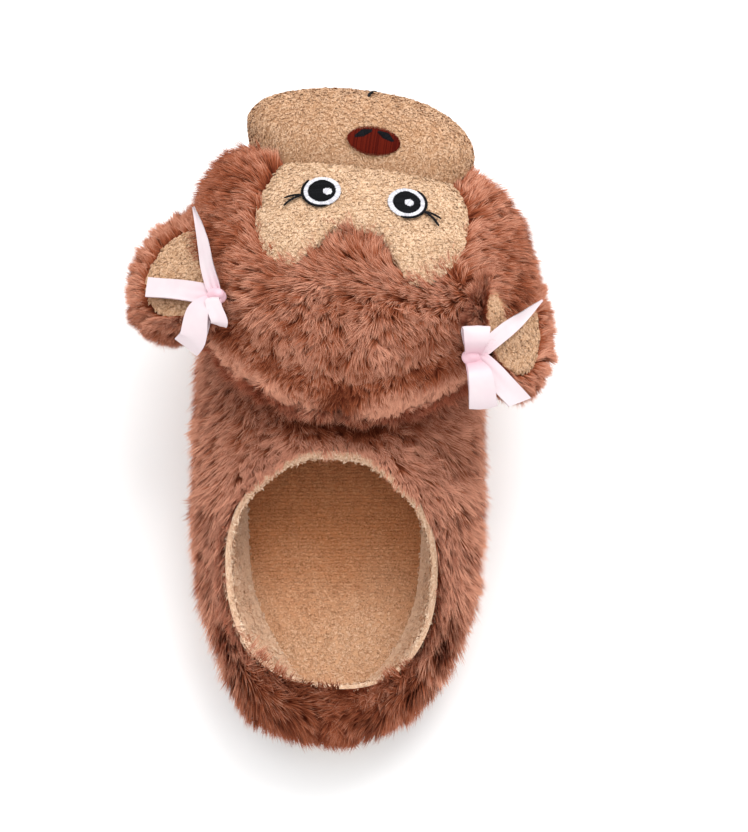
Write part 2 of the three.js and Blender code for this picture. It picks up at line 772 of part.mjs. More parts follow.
// Ribbon strip along a row of places. Each has a unit vector across the ribbon and a share of full width.
function ribbon(rows) {
  const curve = new THREE.CatmullRomCurve3(rows.map((row) => row.at), false, "centripetal");
  const count = RIBBON_STEPS;
  const points = [];
  for (let i = 0; i <= count; i++) {
    const t = i / count;
    const k = Math.min(rows.length - 2, Math.floor(t * (rows.length - 1)));
    const part = t * (rows.length - 1) - k;
    const wide = THREE.MathUtils.lerp(rows[k].wide, rows[k + 1].wide, part) * RIBBON_WIDTH;
    const along = curve.getTangent(t);
    const across = rows[k].across.clone().lerp(rows[k + 1].across, part);
    across.addScaledVector(along, -across.dot(along)).setLength(wide / 2);
    const up = new THREE.Vector3().crossVectors(across, along).setLength(RIBBON_THICK / 2);
    for (const [a, b] of [[1, 1], [-1, 1], [-1, -1], [1, -1]]) {
      points.push(curve.getPoint(t).addScaledVector(across, a).addScaledVector(up, b));
    }
  }
  const indices = [0, 1, 2, 0, 2, 3];
  for (let i = 0; i < count; i++) {
    for (let j = 0; j < 4; j++) {
      const a = i * 4 + j;
      const b = i * 4 + ((j + 1) % 4);
      indices.push(a, a + 4, b + 4, a, b + 4, b);
    }
  }
  const end = count * 4;
  indices.push(end, end + 2, end + 1, end, end + 3, end + 2);
  return geometryOf(points, indices);
}

// Height of an ear's upper face above a place in the head's frame, or the head's where that is higher.
function plushTop(x, y, name) {
  const head = headTop(x, y);
  const toEar = earFrame(name).invert().multiply(headFrame);
  for (let z = HEAD_RISE; z > head; z -= 0.25) {
    const p = new THREE.Vector3(x, y, z).applyMatrix4(toEar);
    const out = (p.x / (EAR_REACH + patchTop)) ** 2 + (p.y / (EAR_LENGTH / 2 + patchTop)) ** 2;
    const thick = (EAR_THICK / 2 + patchTop) * Math.pow(Math.max(0, 1 - out), PILLOW_FULLNESS / 2);
    if (out < 1 && p.z < EAR_CUP * out + thick) return z;
  }
  return head;
}

// A place at a height over the plush, with the surface's normal there. Past the plush's edge a ribbon
// hangs no lower than "lowest".
function overPlush(x, y, name, lift, lowest) {
  const step = 3;
  const top = (atX, atY) => Math.max(plushTop(atX, atY, name), lowest);
  const slopeX = (top(x + step, y) - top(x - step, y)) / (2 * step);
  const slopeY = (top(x, y + step) - top(x, y - step)) / (2 * step);
  const limit = (slope) => THREE.MathUtils.clamp(slope, -MAX_SLOPE, MAX_SLOPE);
  const normal = new THREE.Vector3(-limit(slopeX), -limit(slopeY), 1).normalize();
  const at = new THREE.Vector3(x, y, top(x, y)).addScaledVector(normal, lift);
  return { at, normal };
}

function makeBow(name, plushUnder) {
  const bow = BOWS[name];
  const knotX = (bow.knot.across * HEAD_WIDTH) / 2;
  const knotY = (bow.knot.along * HEAD_LENGTH) / 2;
  const knotTop = plushTop(knotX, knotY, name);
  const knot = overPlush(knotX, knotY, name, KNOT_SIZE / 2 - KNOT_SINK, knotTop - KNOT_SIZE);
  const pieces = [];
  // One row of a ribbon at a share of its reach, lifted over the plush or drawn down to the knot.
  const rowAt = (bearing, reach, out, lift, wide) => {
    const bearingLine = new THREE.Vector3(Math.sin(rad(bearing)), Math.cos(rad(bearing)), 0);
    const x = knotX + bearingLine.x * reach * out;
    const y = knotY + bearingLine.y * reach * out;
    const over = overPlush(x, y, name, RIBBON_LIFT + lift, knotTop - reach * out * RIBBON_SAG);
    const across = new THREE.Vector3().crossVectors(over.normal, bearingLine).normalize();
    const near = Math.max(0, 1 - out / KNOT_BLEND);
    return { at: over.at.lerp(knot.at, near), across, wide };
  };
  for (const tail of bow.tails) {
    const rows = [0, 0.25, 0.5, 0.75, 1].map((out) =>
      rowAt(
        tail.bearing,
        tail.reach * TAIL_REACH,
        out,
        tail.rise * TAIL_RISE * out,
        out === 0 ? 0.5 : tail.wide,
      ),
    );
    pieces.push(ribbon(rows));
  }
  for (const loop of bow.loops) {
    const reach = loop.reach * LOOP_REACH;
    const height = loop.height * LOOP_HEIGHT;
    const rows = LOOP_ROWS.map(({ out, up, wide }) =>
      rowAt(loop.bearing, reach, out, up * height, wide),
    );
    pieces.push(ribbon(rows));
  }
  const ball = new THREE.SphereGeometry(KNOT_SIZE / 2, 8, 6);
  ball.translate(knot.at.x, knot.at.y, knot.at.z);
  const knotSolid = solidOf(ball.applyMatrix4(headFrame)).subtract(plushUnder);
  return joined([knotSolid, ...pieces.map((piece) => solidOf(piece.applyMatrix4(headFrame)))]);
}

// Colours and finishes.
function fabric(name, color, roughness) {
  return new THREE.MeshStandardMaterial({ name, color, roughness, metalness: 0 });
}
const plush = fabric("brown_plush", 0x9a6148, 0.95);
const terry = fabric("beige_terry", 0xdcb896, 0.95);
const satin = fabric("pink_satin", 0xf4e4e8, 0.35);
const eyeThread = fabric("eye_thread", 0x1a1a1e, 0.5);
const noseThread = fabric("nose_thread", 0x7a2416, 0.5);
const soleCloth = fabric("sole_cloth", 0xb99b78, 0.9);

const slipper = new THREE.Group();
function place(name, solid, material) {
  const mesh = new THREE.Mesh(geometryFromSolid(solid), material);
  mesh.name = name;
  slipper.add(mesh);
}

const sides = { left: -1, right: 1 };
const cutByUpper = filledUpper(FIT_GAP);
const cutByHead = headBlob(FIT_GAP);
const head = headBlob(0).subtract(cutByUpper);
const facePatch = makeFacePatch();
const muzzle = muzzleBlob(0).subtract(headBlob(patchTop + FIT_GAP)).subtract(cutByUpper);
const ears = {};
const bows = {};
for (const name of Object.keys(sides)) {
  ears[name] = earBlob(name, 0).subtract(cutByHead).subtract(cutByUpper);
  bows[name] = makeBow(name, joined([cutByHead, earBlob(name, FIT_GAP)]));
}
const sewnOn = joined([
  muzzleBlob(LOCK_CLEARANCE),
  ...Object.keys(sides).map((name) => earBlob(name, LOCK_CLEARANCE)),
  ...Object.values(bows),
]);
const furrySolids = {
  upper: joined([
    makeUpperShell(),
    ...clearOf(upperLocks(), joined([headBlob(LOCK_CLEARANCE), sewnOn])),
  ]),
  head: joined([head, ...clearOf(headLocks(), joined([sewnOn, facePatch, cutByUpper]))]),
};
for (const name of Object.keys(sides)) {
  const others = joined([cutByHead, cutByUpper, bows[name]]);
  ears[name] = joined([ears[name], ...clearOf(earLocks(name), others)]);
}

place("outsole", makeOutsole(), soleCloth);
place("insole", makeInsole(), terry);
place("upper", furrySolids.upper, plush);
place("head", furrySolids.head, plush);
place("muzzle", muzzle, terry);
place("face_patch", facePatch, terry);
place("nose", makeNose(), noseThread);
for (const [name, side] of Object.entries(sides)) {
  place("eye_" + name, makeEye(side), eyeThread);
  place("ear_" + name, ears[name], plush);
  place("ear_inner_" + name, makeEarPatch(name), terry);
  place("bow_" + name, bows[name], satin);
}

export default slipper;
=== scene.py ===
"""Looks of the animal slipper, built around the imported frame.

Sizes are in millimetres until a mesh is made.
"""

import math

import bpy
import numpy as np
from mathutils import Matrix, Vector, kdtree


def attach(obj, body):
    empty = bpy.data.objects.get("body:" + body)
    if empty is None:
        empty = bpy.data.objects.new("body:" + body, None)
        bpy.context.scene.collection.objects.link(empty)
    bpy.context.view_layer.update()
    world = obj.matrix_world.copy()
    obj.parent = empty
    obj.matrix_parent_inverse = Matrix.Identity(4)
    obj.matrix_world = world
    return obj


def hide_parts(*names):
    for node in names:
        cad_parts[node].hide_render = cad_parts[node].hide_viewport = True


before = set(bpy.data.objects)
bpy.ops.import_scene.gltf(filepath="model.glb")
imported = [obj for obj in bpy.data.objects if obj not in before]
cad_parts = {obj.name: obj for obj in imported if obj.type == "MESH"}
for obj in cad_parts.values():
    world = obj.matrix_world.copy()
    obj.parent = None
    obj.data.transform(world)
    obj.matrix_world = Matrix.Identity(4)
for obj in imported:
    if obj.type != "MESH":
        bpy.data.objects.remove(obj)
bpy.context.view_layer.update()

MM = 0.001
ROOT = "root"

# ---------------------------------------------------------------- sizes of the slipper

SOLE_LENGTH = 254.0
BALL_WIDTH = 103.0
HEEL_ARC = 64.0
TOE_ARC = 78.0
OUTSOLE_THICK = 9.0
TOE_SPRING, TOE_SPRING_LENGTH = 4.0, 45.0
HEEL_SPRING, HEEL_SPRING_LENGTH = 1.5, 24.0
INSOLE_THICK, INSOLE_CROWN, INSOLE_GAP = 7.0, 2.5, 0.6
FIT_GAP = 0.3

UPPER_WALL = 9.0
HEEL_PADDING, TOE_PADDING = 13.0, 4.0
HEEL_PADDING_END, TOE_PADDING_START = 0.4, 0.65
FUR_OVERHANG = 9.0
HEM_OVERHANG = 2.0
BULGE_HEIGHT = 26.0
INSTEP_HEIGHT = 70.0
SECTION_ROUND = 2.4

COLLAR_LENGTH, COLLAR_WIDTH = 88.0, 83.0
COLLAR_BACK = 18.0
COLLAR_OFFSET = -2.9
COLLAR_EGG = -0.07
COLLAR_SKEW = 0.05
COLLAR_ROUND = 2.3
LIP_ROLL = 5.0

HEAD_WIDTH, HEAD_LENGTH = 140.0, 132.0
HEAD_RISE, HEAD_DROP = 35.0, 24.0
HEAD_ACROSS, HEAD_SETBACK, HEAD_LIFT = 8.0, 85.0, 2.0
HEAD_YAW, HEAD_PITCH = math.radians(-8.5), math.radians(-11)
PILLOW_FULLNESS = 0.8
SEAM_TROUGH = 3.0
SEAM_AT, SEAM_SPREAD = 0.87, 0.07
NOTCH_DEPTH = 5.0

MUZZLE_WIDTH, MUZZLE_LENGTH, MUZZLE_DEPTH = 92.0, 66.0, 54.0
MUZZLE_ACROSS, MUZZLE_SETBACK, MUZZLE_UP = -8.0, 10.5, 10.0
MUZZLE_TILT = math.radians(56)
MUZZLE_FULLNESS = 0.76

FACE_ACROSS = -1.5
EYE_DIAMETER, EYE_SPACING, EYE_FORWARD = 15.0, 33.6, 17.0
NOSE_WIDTH, NOSE_HEIGHT = 21.0, 12.0
NOSE_TURN = math.radians(81)

EAR_REACH, EAR_LENGTH, EAR_THICK = 27.0, 66.0, 13.0
EAR_CUP = 5.0
EAR_OUT_SHARE = 0.25
EAR_PATCH_SHARE = 0.62

RIBBON_WIDTH = 9.5
RIBBON_LIFT, RIBBON_SAG = 2.6, 0.4
KNOT_SIZE, KNOT_SINK, KNOT_BLEND = 9.0, 2.2, 0.3
TAIL_REACH, TAIL_RISE = 42.0, 4.0
LOOP_REACH, LOOP_HEIGHT = 21.0, 5.0
MAX_SLOPE = 1.3

PILE_UNDER_FUR = 6.0
DROP_FROM = 60

# Place from heel to toe, width as a share of the ball's width, and swing to +X.
SOLE_WIDE = [(0, 0.82), (0.12, 0.89), (0.3, 0.98), (0.5, 0.99), (0.68, 1.0), (1, 0.96)]
SOLE_SWING = [(0, -0.025), (0.12, -0.005), (0.3, 0), (0.5, 0), (0.68, 0.03), (1, 0.08)]
CREST_HIGH = [(0, 0.88), (0.2, 0.91), (0.4, 1.0), (0.62, 0.95), (0.8, 0.84), (1, 0.74)]
HEAD_PLAN = [
    (0, 1.03), (0.125, 1.03), (0.25, 1.0), (0.375, 0.93), (0.5, 0.99),
    (0.625, 0.99), (0.75, 1.0), (0.875, 1.13), (1, 1.03),
]
# Half the face patch's outline, as shares of half the head's width and half its length.
PATCH_OUTLINE = [
    (0, 0.03), (0.13, 0.01), (0.212, -0.11), (0.33, -0.24), (0.47, -0.18),
    (0.575, 0.04), (0.575, 0.34), (0.44, 0.58), (0.2, 0.7),
]
# Each ear's root as shares of the head's half width, half length and rise, and droop in degrees.
EARS = {"left": (-0.83, -0.21, 0.23, 24), "right": (0.76, -0.24, 0.29, 50)}
# Bearing from the knot in degrees, and reach as a share of the longest tail or loop. Then a tail's
# width and rise, and a loop's height, as shares.
BOWS = {
    "left": {
        "knot": (-0.73, -0.45),
        "tails": [(-76, 0.74, 1, 0), (-17, 1, 0.55, 1)],
        "loops": [(-154, 1, 1), (178, 0.52, 0.8)],
    },
    "right": {
        "knot": (0.725, -0.64),
        "tails": [(24, 1, 0.6, 1), (125, 0.55, 1, 0)],
        "loops": [(164, 1, 1), (-16, 0.46, 1)],
    },
}
# A loop's reach from the knot, height and width, as shares.
LOOP_ROWS = [
    (0, 0, 0.5), (0.45, 0, 0.95), (0.9, 0.05, 1.1), (1, 0.5, 1.15),
    (0.9, 0.95, 1.1), (0.45, 1, 0.95), (0, 0.5, 0.5),
]

HEEL_Y = -SOLE_LENGTH / 2
HEEL_ARC_END = HEEL_Y + HEEL_ARC
TOE_ARC_START = SOLE_LENGTH / 2 - TOE_ARC
SEAT_HEIGHT = OUTSOLE_THICK + FIT_GAP
PATCH_MIDDLE = np.array([FACE_ACROSS, 0.3 * HEAD_LENGTH / 2])
FOOTBED_SHARE = (INSOLE_THICK - INSOLE_CROWN) / (BULGE_HEIGHT - SEAT_HEIGHT)
COLLAR_CENTRE = np.array([COLLAR_OFFSET, HEEL_Y - FUR_OVERHANG + COLLAR_BACK + COLLAR_LENGTH / 2])


# ---------------------------------------------------------------- small numeric helpers


def unit(v):
    return v / np.maximum(np.linalg.norm(v, axis=-1, keepdims=True), 1e-9)


def dot(a, b):
    return (a * b).sum(-1, keepdims=True)


def mix(a, b, t):
    return a + (b - a) * t


def smooth(low, high, v):
    t = np.clip((v - low) / (high - low), 0, 1)
    return t * t * (3 - 2 * t)


def bell(v, width, w=0.0, w_width=1.0):
    """1 where v, and w if given, are 0, and about a third one width away."""
    return np.exp(-((v / width) ** 2) - (w / w_width) ** 2)


def signed_power(v, power):
    return np.sign(v) * np.abs(v) ** power


def xyz(p):
    return p[..., 0], p[..., 1], p[..., 2]


def points(x, y, z):
    return np.stack([x, y, z], -1)


def from_table(rows, at):
    """Smooth curve through a table, by the slopes between each row's neighbours."""
    x = np.array([r[0] for r in rows], float)
    y = np.array([r[1] for r in rows], float)
    last = len(x) - 1
    row = np.arange(last + 1)
    before, after = np.maximum(row - 1, 0), np.minimum(row + 1, last)
    slope = (y[after] - y[before]) / (x[after] - x[before])
    i = np.clip(np.searchsorted(x, at, side="left") - 1, 0, last - 1)
    span = x[i + 1] - x[i]
    t = np.clip((at - x[i]) / span, 0, 1)
    t2, t3 = t * t, t * t * t
    return (
        (2 * t3 - 3 * t2 + 1) * y[i]
        + (t3 - 2 * t2 + t) * span * slope[i]
        + (3 * t2 - 2 * t3) * y[i + 1]
        + (t3 - t2) * span * slope[i + 1]
    )


def ripple(p, size, seed, waves=7):
    """Smooth noise of about unit strength, from a few crossing waves of about "size" mm."""
    rng = np.random.default_rng(seed)
    k = unit(rng.normal(size=(waves, 3))) * rng.uniform(0.6, 1.5, (waves, 1)) * (2 * math.pi / size)
    phase = rng.uniform(0, 2 * math.pi, waves)
    return np.sin(p @ k.T + phase).sum(-1) / math.sqrt(waves / 2)


def ripples(p, size, seed):
    """A ripple for each axis, as vectors that turn a nap."""
    return np.stack([ripple(p, size, seed + k) for k in range(3)], -1)


def through(frame_matrix, p):
    return p @ frame_matrix[:3, :3].T + frame_matrix[:3, 3]


def into(frame_matrix, p):
    return (p - frame_matrix[:3, 3]) @ frame_matrix[:3, :3]


def placed(*matrices):
    made = Matrix.Identity(4)
    for m in matrices:
        made = made @ m
    return np.array(made)


# ---------------------------------------------------------------- surfaces shared with the solids


def half_width(y):
    return BALL_WIDTH / 2 * from_table(SOLE_WIDE, np.clip((y - HEEL_Y) / SOLE_LENGTH, 0, 1))


def swing(y):
    return BALL_WIDTH * from_table(SOLE_SWING, np.clip((y - HEEL_Y) / SOLE_LENGTH, 0, 1))


def crest(y):
    return INSTEP_HEIGHT * from_table(CREST_HIGH, np.clip((y - HEEL_Y) / SOLE_LENGTH, 0, 1))


def spring(y):
    toe = np.maximum(0, 1 - (SOLE_LENGTH / 2 - y) / TOE_SPRING_LENGTH)
    heel = np.maximum(0, 1 - (y - HEEL_Y) / HEEL_SPRING_LENGTH)
    return TOE_SPRING * toe * toe + HEEL_SPRING * heel * heel


def edge_point(way, side, grow):
    """A point of the sole's outline. way runs from 0, the heel, to 1, the toe: arc, side, arc."""
    third = way * 3
    heel = np.clip(third, 0, 1) * math.pi / 2
    toe = np.clip(3 - third, 0, 1) * math.pi / 2
    y_heel = HEEL_ARC_END - (HEEL_ARC + grow) * np.cos(heel)
    y_side = mix(HEEL_ARC_END, TOE_ARC_START, np.clip(third - 1, 0, 1))
    y_toe = TOE_ARC_START + (TOE_ARC + grow) * np.cos(toe)
    y = np.where(third < 1, y_heel, np.where(third <= 2, y_side, y_toe))
    cap = np.where(third < 1, np.sin(heel), np.where(third <= 2, 1.0, np.sin(toe)))
    return swing(y) + side * (half_width(y) + grow) * cap, y


def share_out(x, y, grow):
    across = (x - swing(y)) / (half_width(y) + grow)
    heel = np.maximum(HEEL_ARC_END - y, 0) / (HEEL_ARC + grow)
    toe = np.maximum(y - TOE_ARC_START, 0) / (TOE_ARC + grow)
    return np.hypot(across, heel + toe)


def dome_height(x, y, inset):
    out = np.minimum(1, share_out(x, y, FUR_OVERHANG - inset))
    arch = np.power(1 - np.power(out, SECTION_ROUND), 1 / SECTION_ROUND)
    return BULGE_HEIGHT + (crest(y) - inset - BULGE_HEIGHT) * arch


def collar_point(x, y):
    angle = np.arctan2(y - COLLAR_CENTRE[1], x - COLLAR_CENTRE[0])
    c, s = np.cos(angle), np.sin(angle)
    cx, sy = signed_power(c, 2 / COLLAR_ROUND), signed_power(s, 2 / COLLAR_ROUND)
    x = COLLAR_WIDTH / 2 * cx * (1 - COLLAR_EGG * sy)
    y = COLLAR_LENGTH / 2 * sy - COLLAR_SKEW * x
    return COLLAR_CENTRE[0] + x, COLLAR_CENTRE[1] + y


def round_way(u):
    """u runs 0 to 2 round the slipper: heel, up the +X side, toe, and back down the -X side."""
    u = np.mod(u, 2)
    return np.where(u < 1, u, 2 - u), np.where(u < 1, 1.0, -1.0)


def wall_point(u, t, inset):
    way, side = round_way(u)
    fx, fy = edge_point(way, side, FUR_OVERHANG - inset)
    rx, ry = collar_point(*edge_point(way, side, FUR_OVERHANG))
    k = 1 - np.cos(t * math.pi / 2)
    x, y = mix(fx, rx, k), mix(fy, ry, k)
    return points(x, y, dome_height(x, y, inset) + spring(y) * (1 - t))


def hem_grow(share):
    return mix(HEM_OVERHANG, FUR_OVERHANG, np.sin(share * math.pi / 2))


def lining_inset(share, way):
    forward = smooth(HEEL_PADDING_END, TOE_PADDING_START, way)
    return UPPER_WALL + mix(HEEL_PADDING, TOE_PADDING, forward) * (1 - share)


def hem_point(u, share, inset):
    way, side = round_way(u)
    x, y = edge_point(way, side, hem_grow(share) - inset)
    return points(x, y, mix(SEAT_HEIGHT, BULGE_HEIGHT, share) + spring(y))


def upper_point(u, s, inset):
    """The upper's surface from s = -1 at the hem, 0 at its widest, to 1 at the collar."""
    low = hem_point(u, np.clip(1 + s, 0, 1), inset)
    high = wall_point(u, np.clip(s, 0, 1), inset)
    return np.where((s < 0)[..., None], low, high)


def inside_upper(p, inset):
    x, y, z = xyz(p)
    return (share_out(x, y, FUR_OVERHANG - inset) < 1) & (z < dome_height(x, y, inset))


head_frame = placed(
    Matrix.Translation((HEAD_ACROSS, SOLE_LENGTH / 2 - HEAD_SETBACK, INSTEP_HEIGHT + HEAD_LIFT)),
    Matrix.Rotation(HEAD_YAW, 4, "Z"),
    Matrix.Rotation(HEAD_PITCH, 4, "X"),
)
muzzle_frame = placed(
    Matrix(head_frame),
    Matrix.Translation((MUZZLE_ACROSS, HEAD_LENGTH / 2 - MUZZLE_SETBACK, MUZZLE_UP)),
    Matrix.Rotation(-MUZZLE_TILT, 4, "X"),
)
nose_frame = placed(
    Matrix(muzzle_frame),
    Matrix.Translation((FACE_ACROSS - MUZZLE_ACROSS, 0, 0)),
    Matrix.Rotation(NOSE_TURN, 4, "X"),
)


def ear_frame(name):
    across, along, up, droop = EARS[name]
    side = math.copysign(1, across)
    return placed(
        Matrix(head_frame),
        Matrix.Translation((across * HEAD_WIDTH / 2, along * HEAD_LENGTH / 2, up * HEAD_RISE)),
        Matrix.Rotation(math.radians(side * droop), 4, "Y"),
        Matrix.Translation((side * EAR_REACH * EAR_OUT_SHARE, 0, 0)),
    )


def plan_reach(x, y):
    turn = np.arctan2(x, y) / (2 * math.pi)
    return from_table(HEAD_PLAN, np.where(turn < 0, turn + 1, turn))


def seam_trough(along, radius, out, z):
    """The depth of the sewn seam near the pillow's rim, which is deepest at the back."""
    crown = np.clip(-along / np.maximum(radius, 1e-6) + 0.35, 0, 1)
    return np.where(z > 0, SEAM_TROUGH * crown * bell(out - SEAM_AT, SEAM_SPREAD), 0)


def head_point(d, grow):
    """The pillow's surface in its own frame, for unit directions."""
    x, y, z = xyz(d)
    out = np.hypot(x, y)
    reach = plan_reach(x, y)
    notch = np.where(y < 0, NOTCH_DEPTH * bell(x, 0.07) * np.maximum(0, -y) ** 3, 0)
    high = np.where(z > 0, HEAD_RISE, HEAD_DROP)
    return points(
        (HEAD_WIDTH / 2 * reach + grow) * x,
        (HEAD_LENGTH / 2 * reach + grow - notch) * y,
        (high + grow) * signed_power(z, PILLOW_FULLNESS) - seam_trough(y, out, out, z),
    )


def muzzle_point(d, grow):
    x, y, z = xyz(d)
    return points(
        (MUZZLE_WIDTH / 2 + grow) * signed_power(x, MUZZLE_FULLNESS),
        (MUZZLE_LENGTH / 2 + grow) * y,
        (MUZZLE_DEPTH / 2 + grow) * z,
    )


def ear_point(d, grow, rim_grow):
    x, y, z = xyz(d)
    level = signed_power(z, PILLOW_FULLNESS)
    return points(
        (EAR_REACH + rim_grow) * x,
        (EAR_LENGTH / 2 + rim_grow) * y,
        (EAR_THICK / 2 + grow) * level + EAR_CUP * (x * x + y * y),
    )


# Each "depth" is below 1 inside the form grown by "grow", for points in the form's own frame.


def head_depth(q, grow):
    x, y, z = xyz(q)
    u, v = x / (HEAD_WIDTH / 2), y / (HEAD_LENGTH / 2)
    reach = plan_reach(u, v)
    out = np.hypot(x / (HEAD_WIDTH / 2 * reach + grow), y / (HEAD_LENGTH / 2 * reach + grow))
    high = np.where(z > 0, HEAD_RISE, HEAD_DROP) + grow
    trough = seam_trough(v, np.hypot(u, v), out, z)
    return out**2 + (np.abs(z + trough) / high) ** (2 / PILLOW_FULLNESS)


def muzzle_depth(q, grow):
    x, y, z = xyz(q)
    return (
        (np.abs(x) / (MUZZLE_WIDTH / 2 + grow)) ** (2 / MUZZLE_FULLNESS)
        + (y / (MUZZLE_LENGTH / 2 + grow)) ** 2
        + (z / (MUZZLE_DEPTH / 2 + grow)) ** 2
    )


def ear_depth(q, grow):
    x, y, z = xyz(q)
    out = (x / (EAR_REACH + grow)) ** 2 + (y / (EAR_LENGTH / 2 + grow)) ** 2
    return out + (np.abs(z - EAR_CUP * out) / (EAR_THICK / 2 + grow)) ** (2 / PILLOW_FULLNESS)


def in_head(p, grow):
    return head_depth(into(head_frame, p), grow) < 1


def in_muzzle(p, grow):
    return muzzle_depth(into(muzzle_frame, p), grow) < 1


def drop(at_frame, x, y, depth, solid_frame, grow, high):
    """Points of a form's surface under (x, y) of a frame, looking down its Z from "high"."""
    x, y = np.broadcast_arrays(np.asarray(x, float), np.asarray(y, float))
    low, top = np.zeros(x.shape), np.full(x.shape, float(high))
    for _ in range(26):
        mid = (low + top) / 2
        q = into(solid_frame, through(at_frame, points(x, y, mid)))
        deep = depth(q, grow) < 1
        low, top = np.where(deep, mid, low), np.where(deep, top, mid)
    return through(at_frame, points(x, y, (low + top) / 2))


def on_head(x, y, grow):
    return drop(head_frame, x, y, head_depth, head_frame, grow, DROP_FROM)


def on_nose(x, y, grow):
    return drop(nose_frame, x, y, muzzle_depth, muzzle_frame, grow, DROP_FROM)


def spline_ring(corners, between):
    """A closed uniform Catmull-Rom curve, as the solids' outline has it."""
    p = np.array(corners, float)
    n = len(p)
    t = np.linspace(0, 1, between, endpoint=False)[:, None]
    rows = []
    for i in range(n):
        a, b, c, d = p[(i - 1) % n], p[i], p[(i + 1) % n], p[(i + 2) % n]
        v0, v1 = (c - a) / 2, (d - b) / 2
        rows.append(
            (2 * b - 2 * c + v0 + v1) * t**3 + (-3 * b + 3 * c - 2 * v0 - v1) * t**2 + v0 * t + b
        )
    return np.concatenate(rows)


def patch_ring():
    half = [(a * HEAD_WIDTH / 2, b * HEAD_LENGTH / 2) for a, b in PATCH_OUTLINE]
    ring = [(FACE_ACROSS + x, y) for x, y in half] + [(FACE_ACROSS - x, y) for x, y in half[:0:-1]]
    return spline_ring(ring, 8)


def in_ring(ring, x, y):
    inside = np.zeros(np.shape(x), bool)
    for (ax, ay), (bx, by) in zip(ring, np.roll(ring, -1, axis=0)):
        crosses = (ay > y) != (by > y)
        inside ^= crosses & (x < (bx - ax) * (y - ay) / (by - ay + 1e-12) + ax)
    return inside


# ---------------------------------------------------------------- meshes


def grid(f, us, vs):
    u, v = np.meshgrid(us, vs, indexing="ij")
    return f(u, v)


def grid_normals(p, outward):
    n = np.cross(np.gradient(p, axis=0), np.gradient(p, axis=1))
    out = outward(p)
    n = np.where(dot(n, out) < 0, -n, n)
    flat = np.linalg.norm(n, axis=-1, keepdims=True) < 1e-4
    return unit(np.where(flat, out, n))


def grid_faces(rows, columns):
    corner = np.arange(rows - 1)[:, None] * columns + np.arange(columns - 1)
    return np.stack([corner, corner + columns, corner + columns + 1, corner + 1], -1).reshape(-1, 4)


def mesh_piece(name, parts, material, replaces=()):
    """One object from parts, which are points, faces, normals and numbers at the points."""
    counts = [len(p["at"]) for p in parts]
    starts = np.cumsum([0] + counts)
    at = np.concatenate([p["at"] for p in parts]) * MM
    faces = []
    for p, first in zip(parts, starts):
        faces += [f + first for f in p["faces"]]
    loops = np.concatenate([f.ravel() for f in faces])
    sizes = np.concatenate([np.full(len(f), f.shape[1]) for f in faces])
    mesh = bpy.data.meshes.new(name)
    mesh.vertices.add(len(at))
    mesh.vertices.foreach_set("co", at.astype(np.float32).ravel())
    mesh.loops.add(len(loops))
    mesh.loops.foreach_set("vertex_index", loops.astype(np.int32))
    mesh.polygons.add(len(sizes))
    starts_of = np.concatenate([[0], np.cumsum(sizes)[:-1]])
    mesh.polygons.foreach_set("loop_start", starts_of.astype(np.int32))
    mesh.polygons.foreach_set("use_smooth", np.ones(len(sizes), bool))
    for key in sorted({k for p in parts for k in p.get("values", {})}):
        rows = [
            np.broadcast_to(p.get("values", {}).get(key, 0.0), (c,)) for p, c in zip(parts, counts)
        ]
        attribute = mesh.attributes.new(key, "FLOAT", "POINT")
        attribute.data.foreach_set("value", np.concatenate(rows).astype(np.float32))
    mesh.update(calc_edges=True)
    mesh.validate()
    if all("normals" in p for p in parts):
        normals = np.concatenate([p["normals"] for p in parts])
        mesh.normals_split_custom_set_from_vertices(normals.astype(np.float32))
    mesh.materials.append(material)
    piece = bpy.data.objects.new(name, mesh)
    bpy.context.scene.collection.objects.link(piece)
    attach(piece, ROOT)
    if replaces:
        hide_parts(*replaces)
    return piece


def skin(p, normals, drop_faces=None, values=None):
    """A grid of points as a surface. drop_faces marks points whose faces are left out."""
    faces = grid_faces(*p.shape[:2])
    if drop_faces is not None:
        gone = drop_faces.reshape(-1)[faces].all(1)
        faces = faces[~gone]
    at, normals = p.reshape(-1, 3), normals.reshape(-1, 3)
    a, b, c, d = (at[faces[:, k]] for k in range(4))
    backward = dot(np.cross(c - a, d - b), normals[faces[:, 0]])[:, 0] < 0
    faces = np.where(backward[:, None], faces[:, ::-1], faces)
    return {"at": at, "faces": [faces], "normals": normals, "values": values or {}}


def scatter(p, normals, count, rng, weight=None):
    """Points spread evenly over a grid of quads, with their normals and the area covered."""
    a, b, c, d = p[:-1, :-1], p[1:, :-1], p[1:, 1:], p[:-1, 1:]
    area = np.linalg.norm(np.cross(c - a, d - b), axis=-1) / 2
    share = area if weight is None else area * weight((a + c) / 2)
    covered = share.sum()
    share = share.ravel() / covered
    rows, columns = area.shape
    pick = rng.choice(rows * columns, size=count, p=share)
    i, j = pick // columns, pick % columns
    s, t = rng.random((2, count))

    def at(q):
        near = mix(q[i, j], q[i + 1, j], s[:, None])
        far = mix(q[i, j + 1], q[i + 1, j + 1], s[:, None])
        return mix(near, far, t[:, None])

    return at(p), unit(at(normals)), covered


def turned(v, axis, angle):
    """v turned about a unit axis at right angles to it."""
    return v * np.cos(angle)[:, None] + np.cross(axis, v) * np.sin(angle)[:, None]


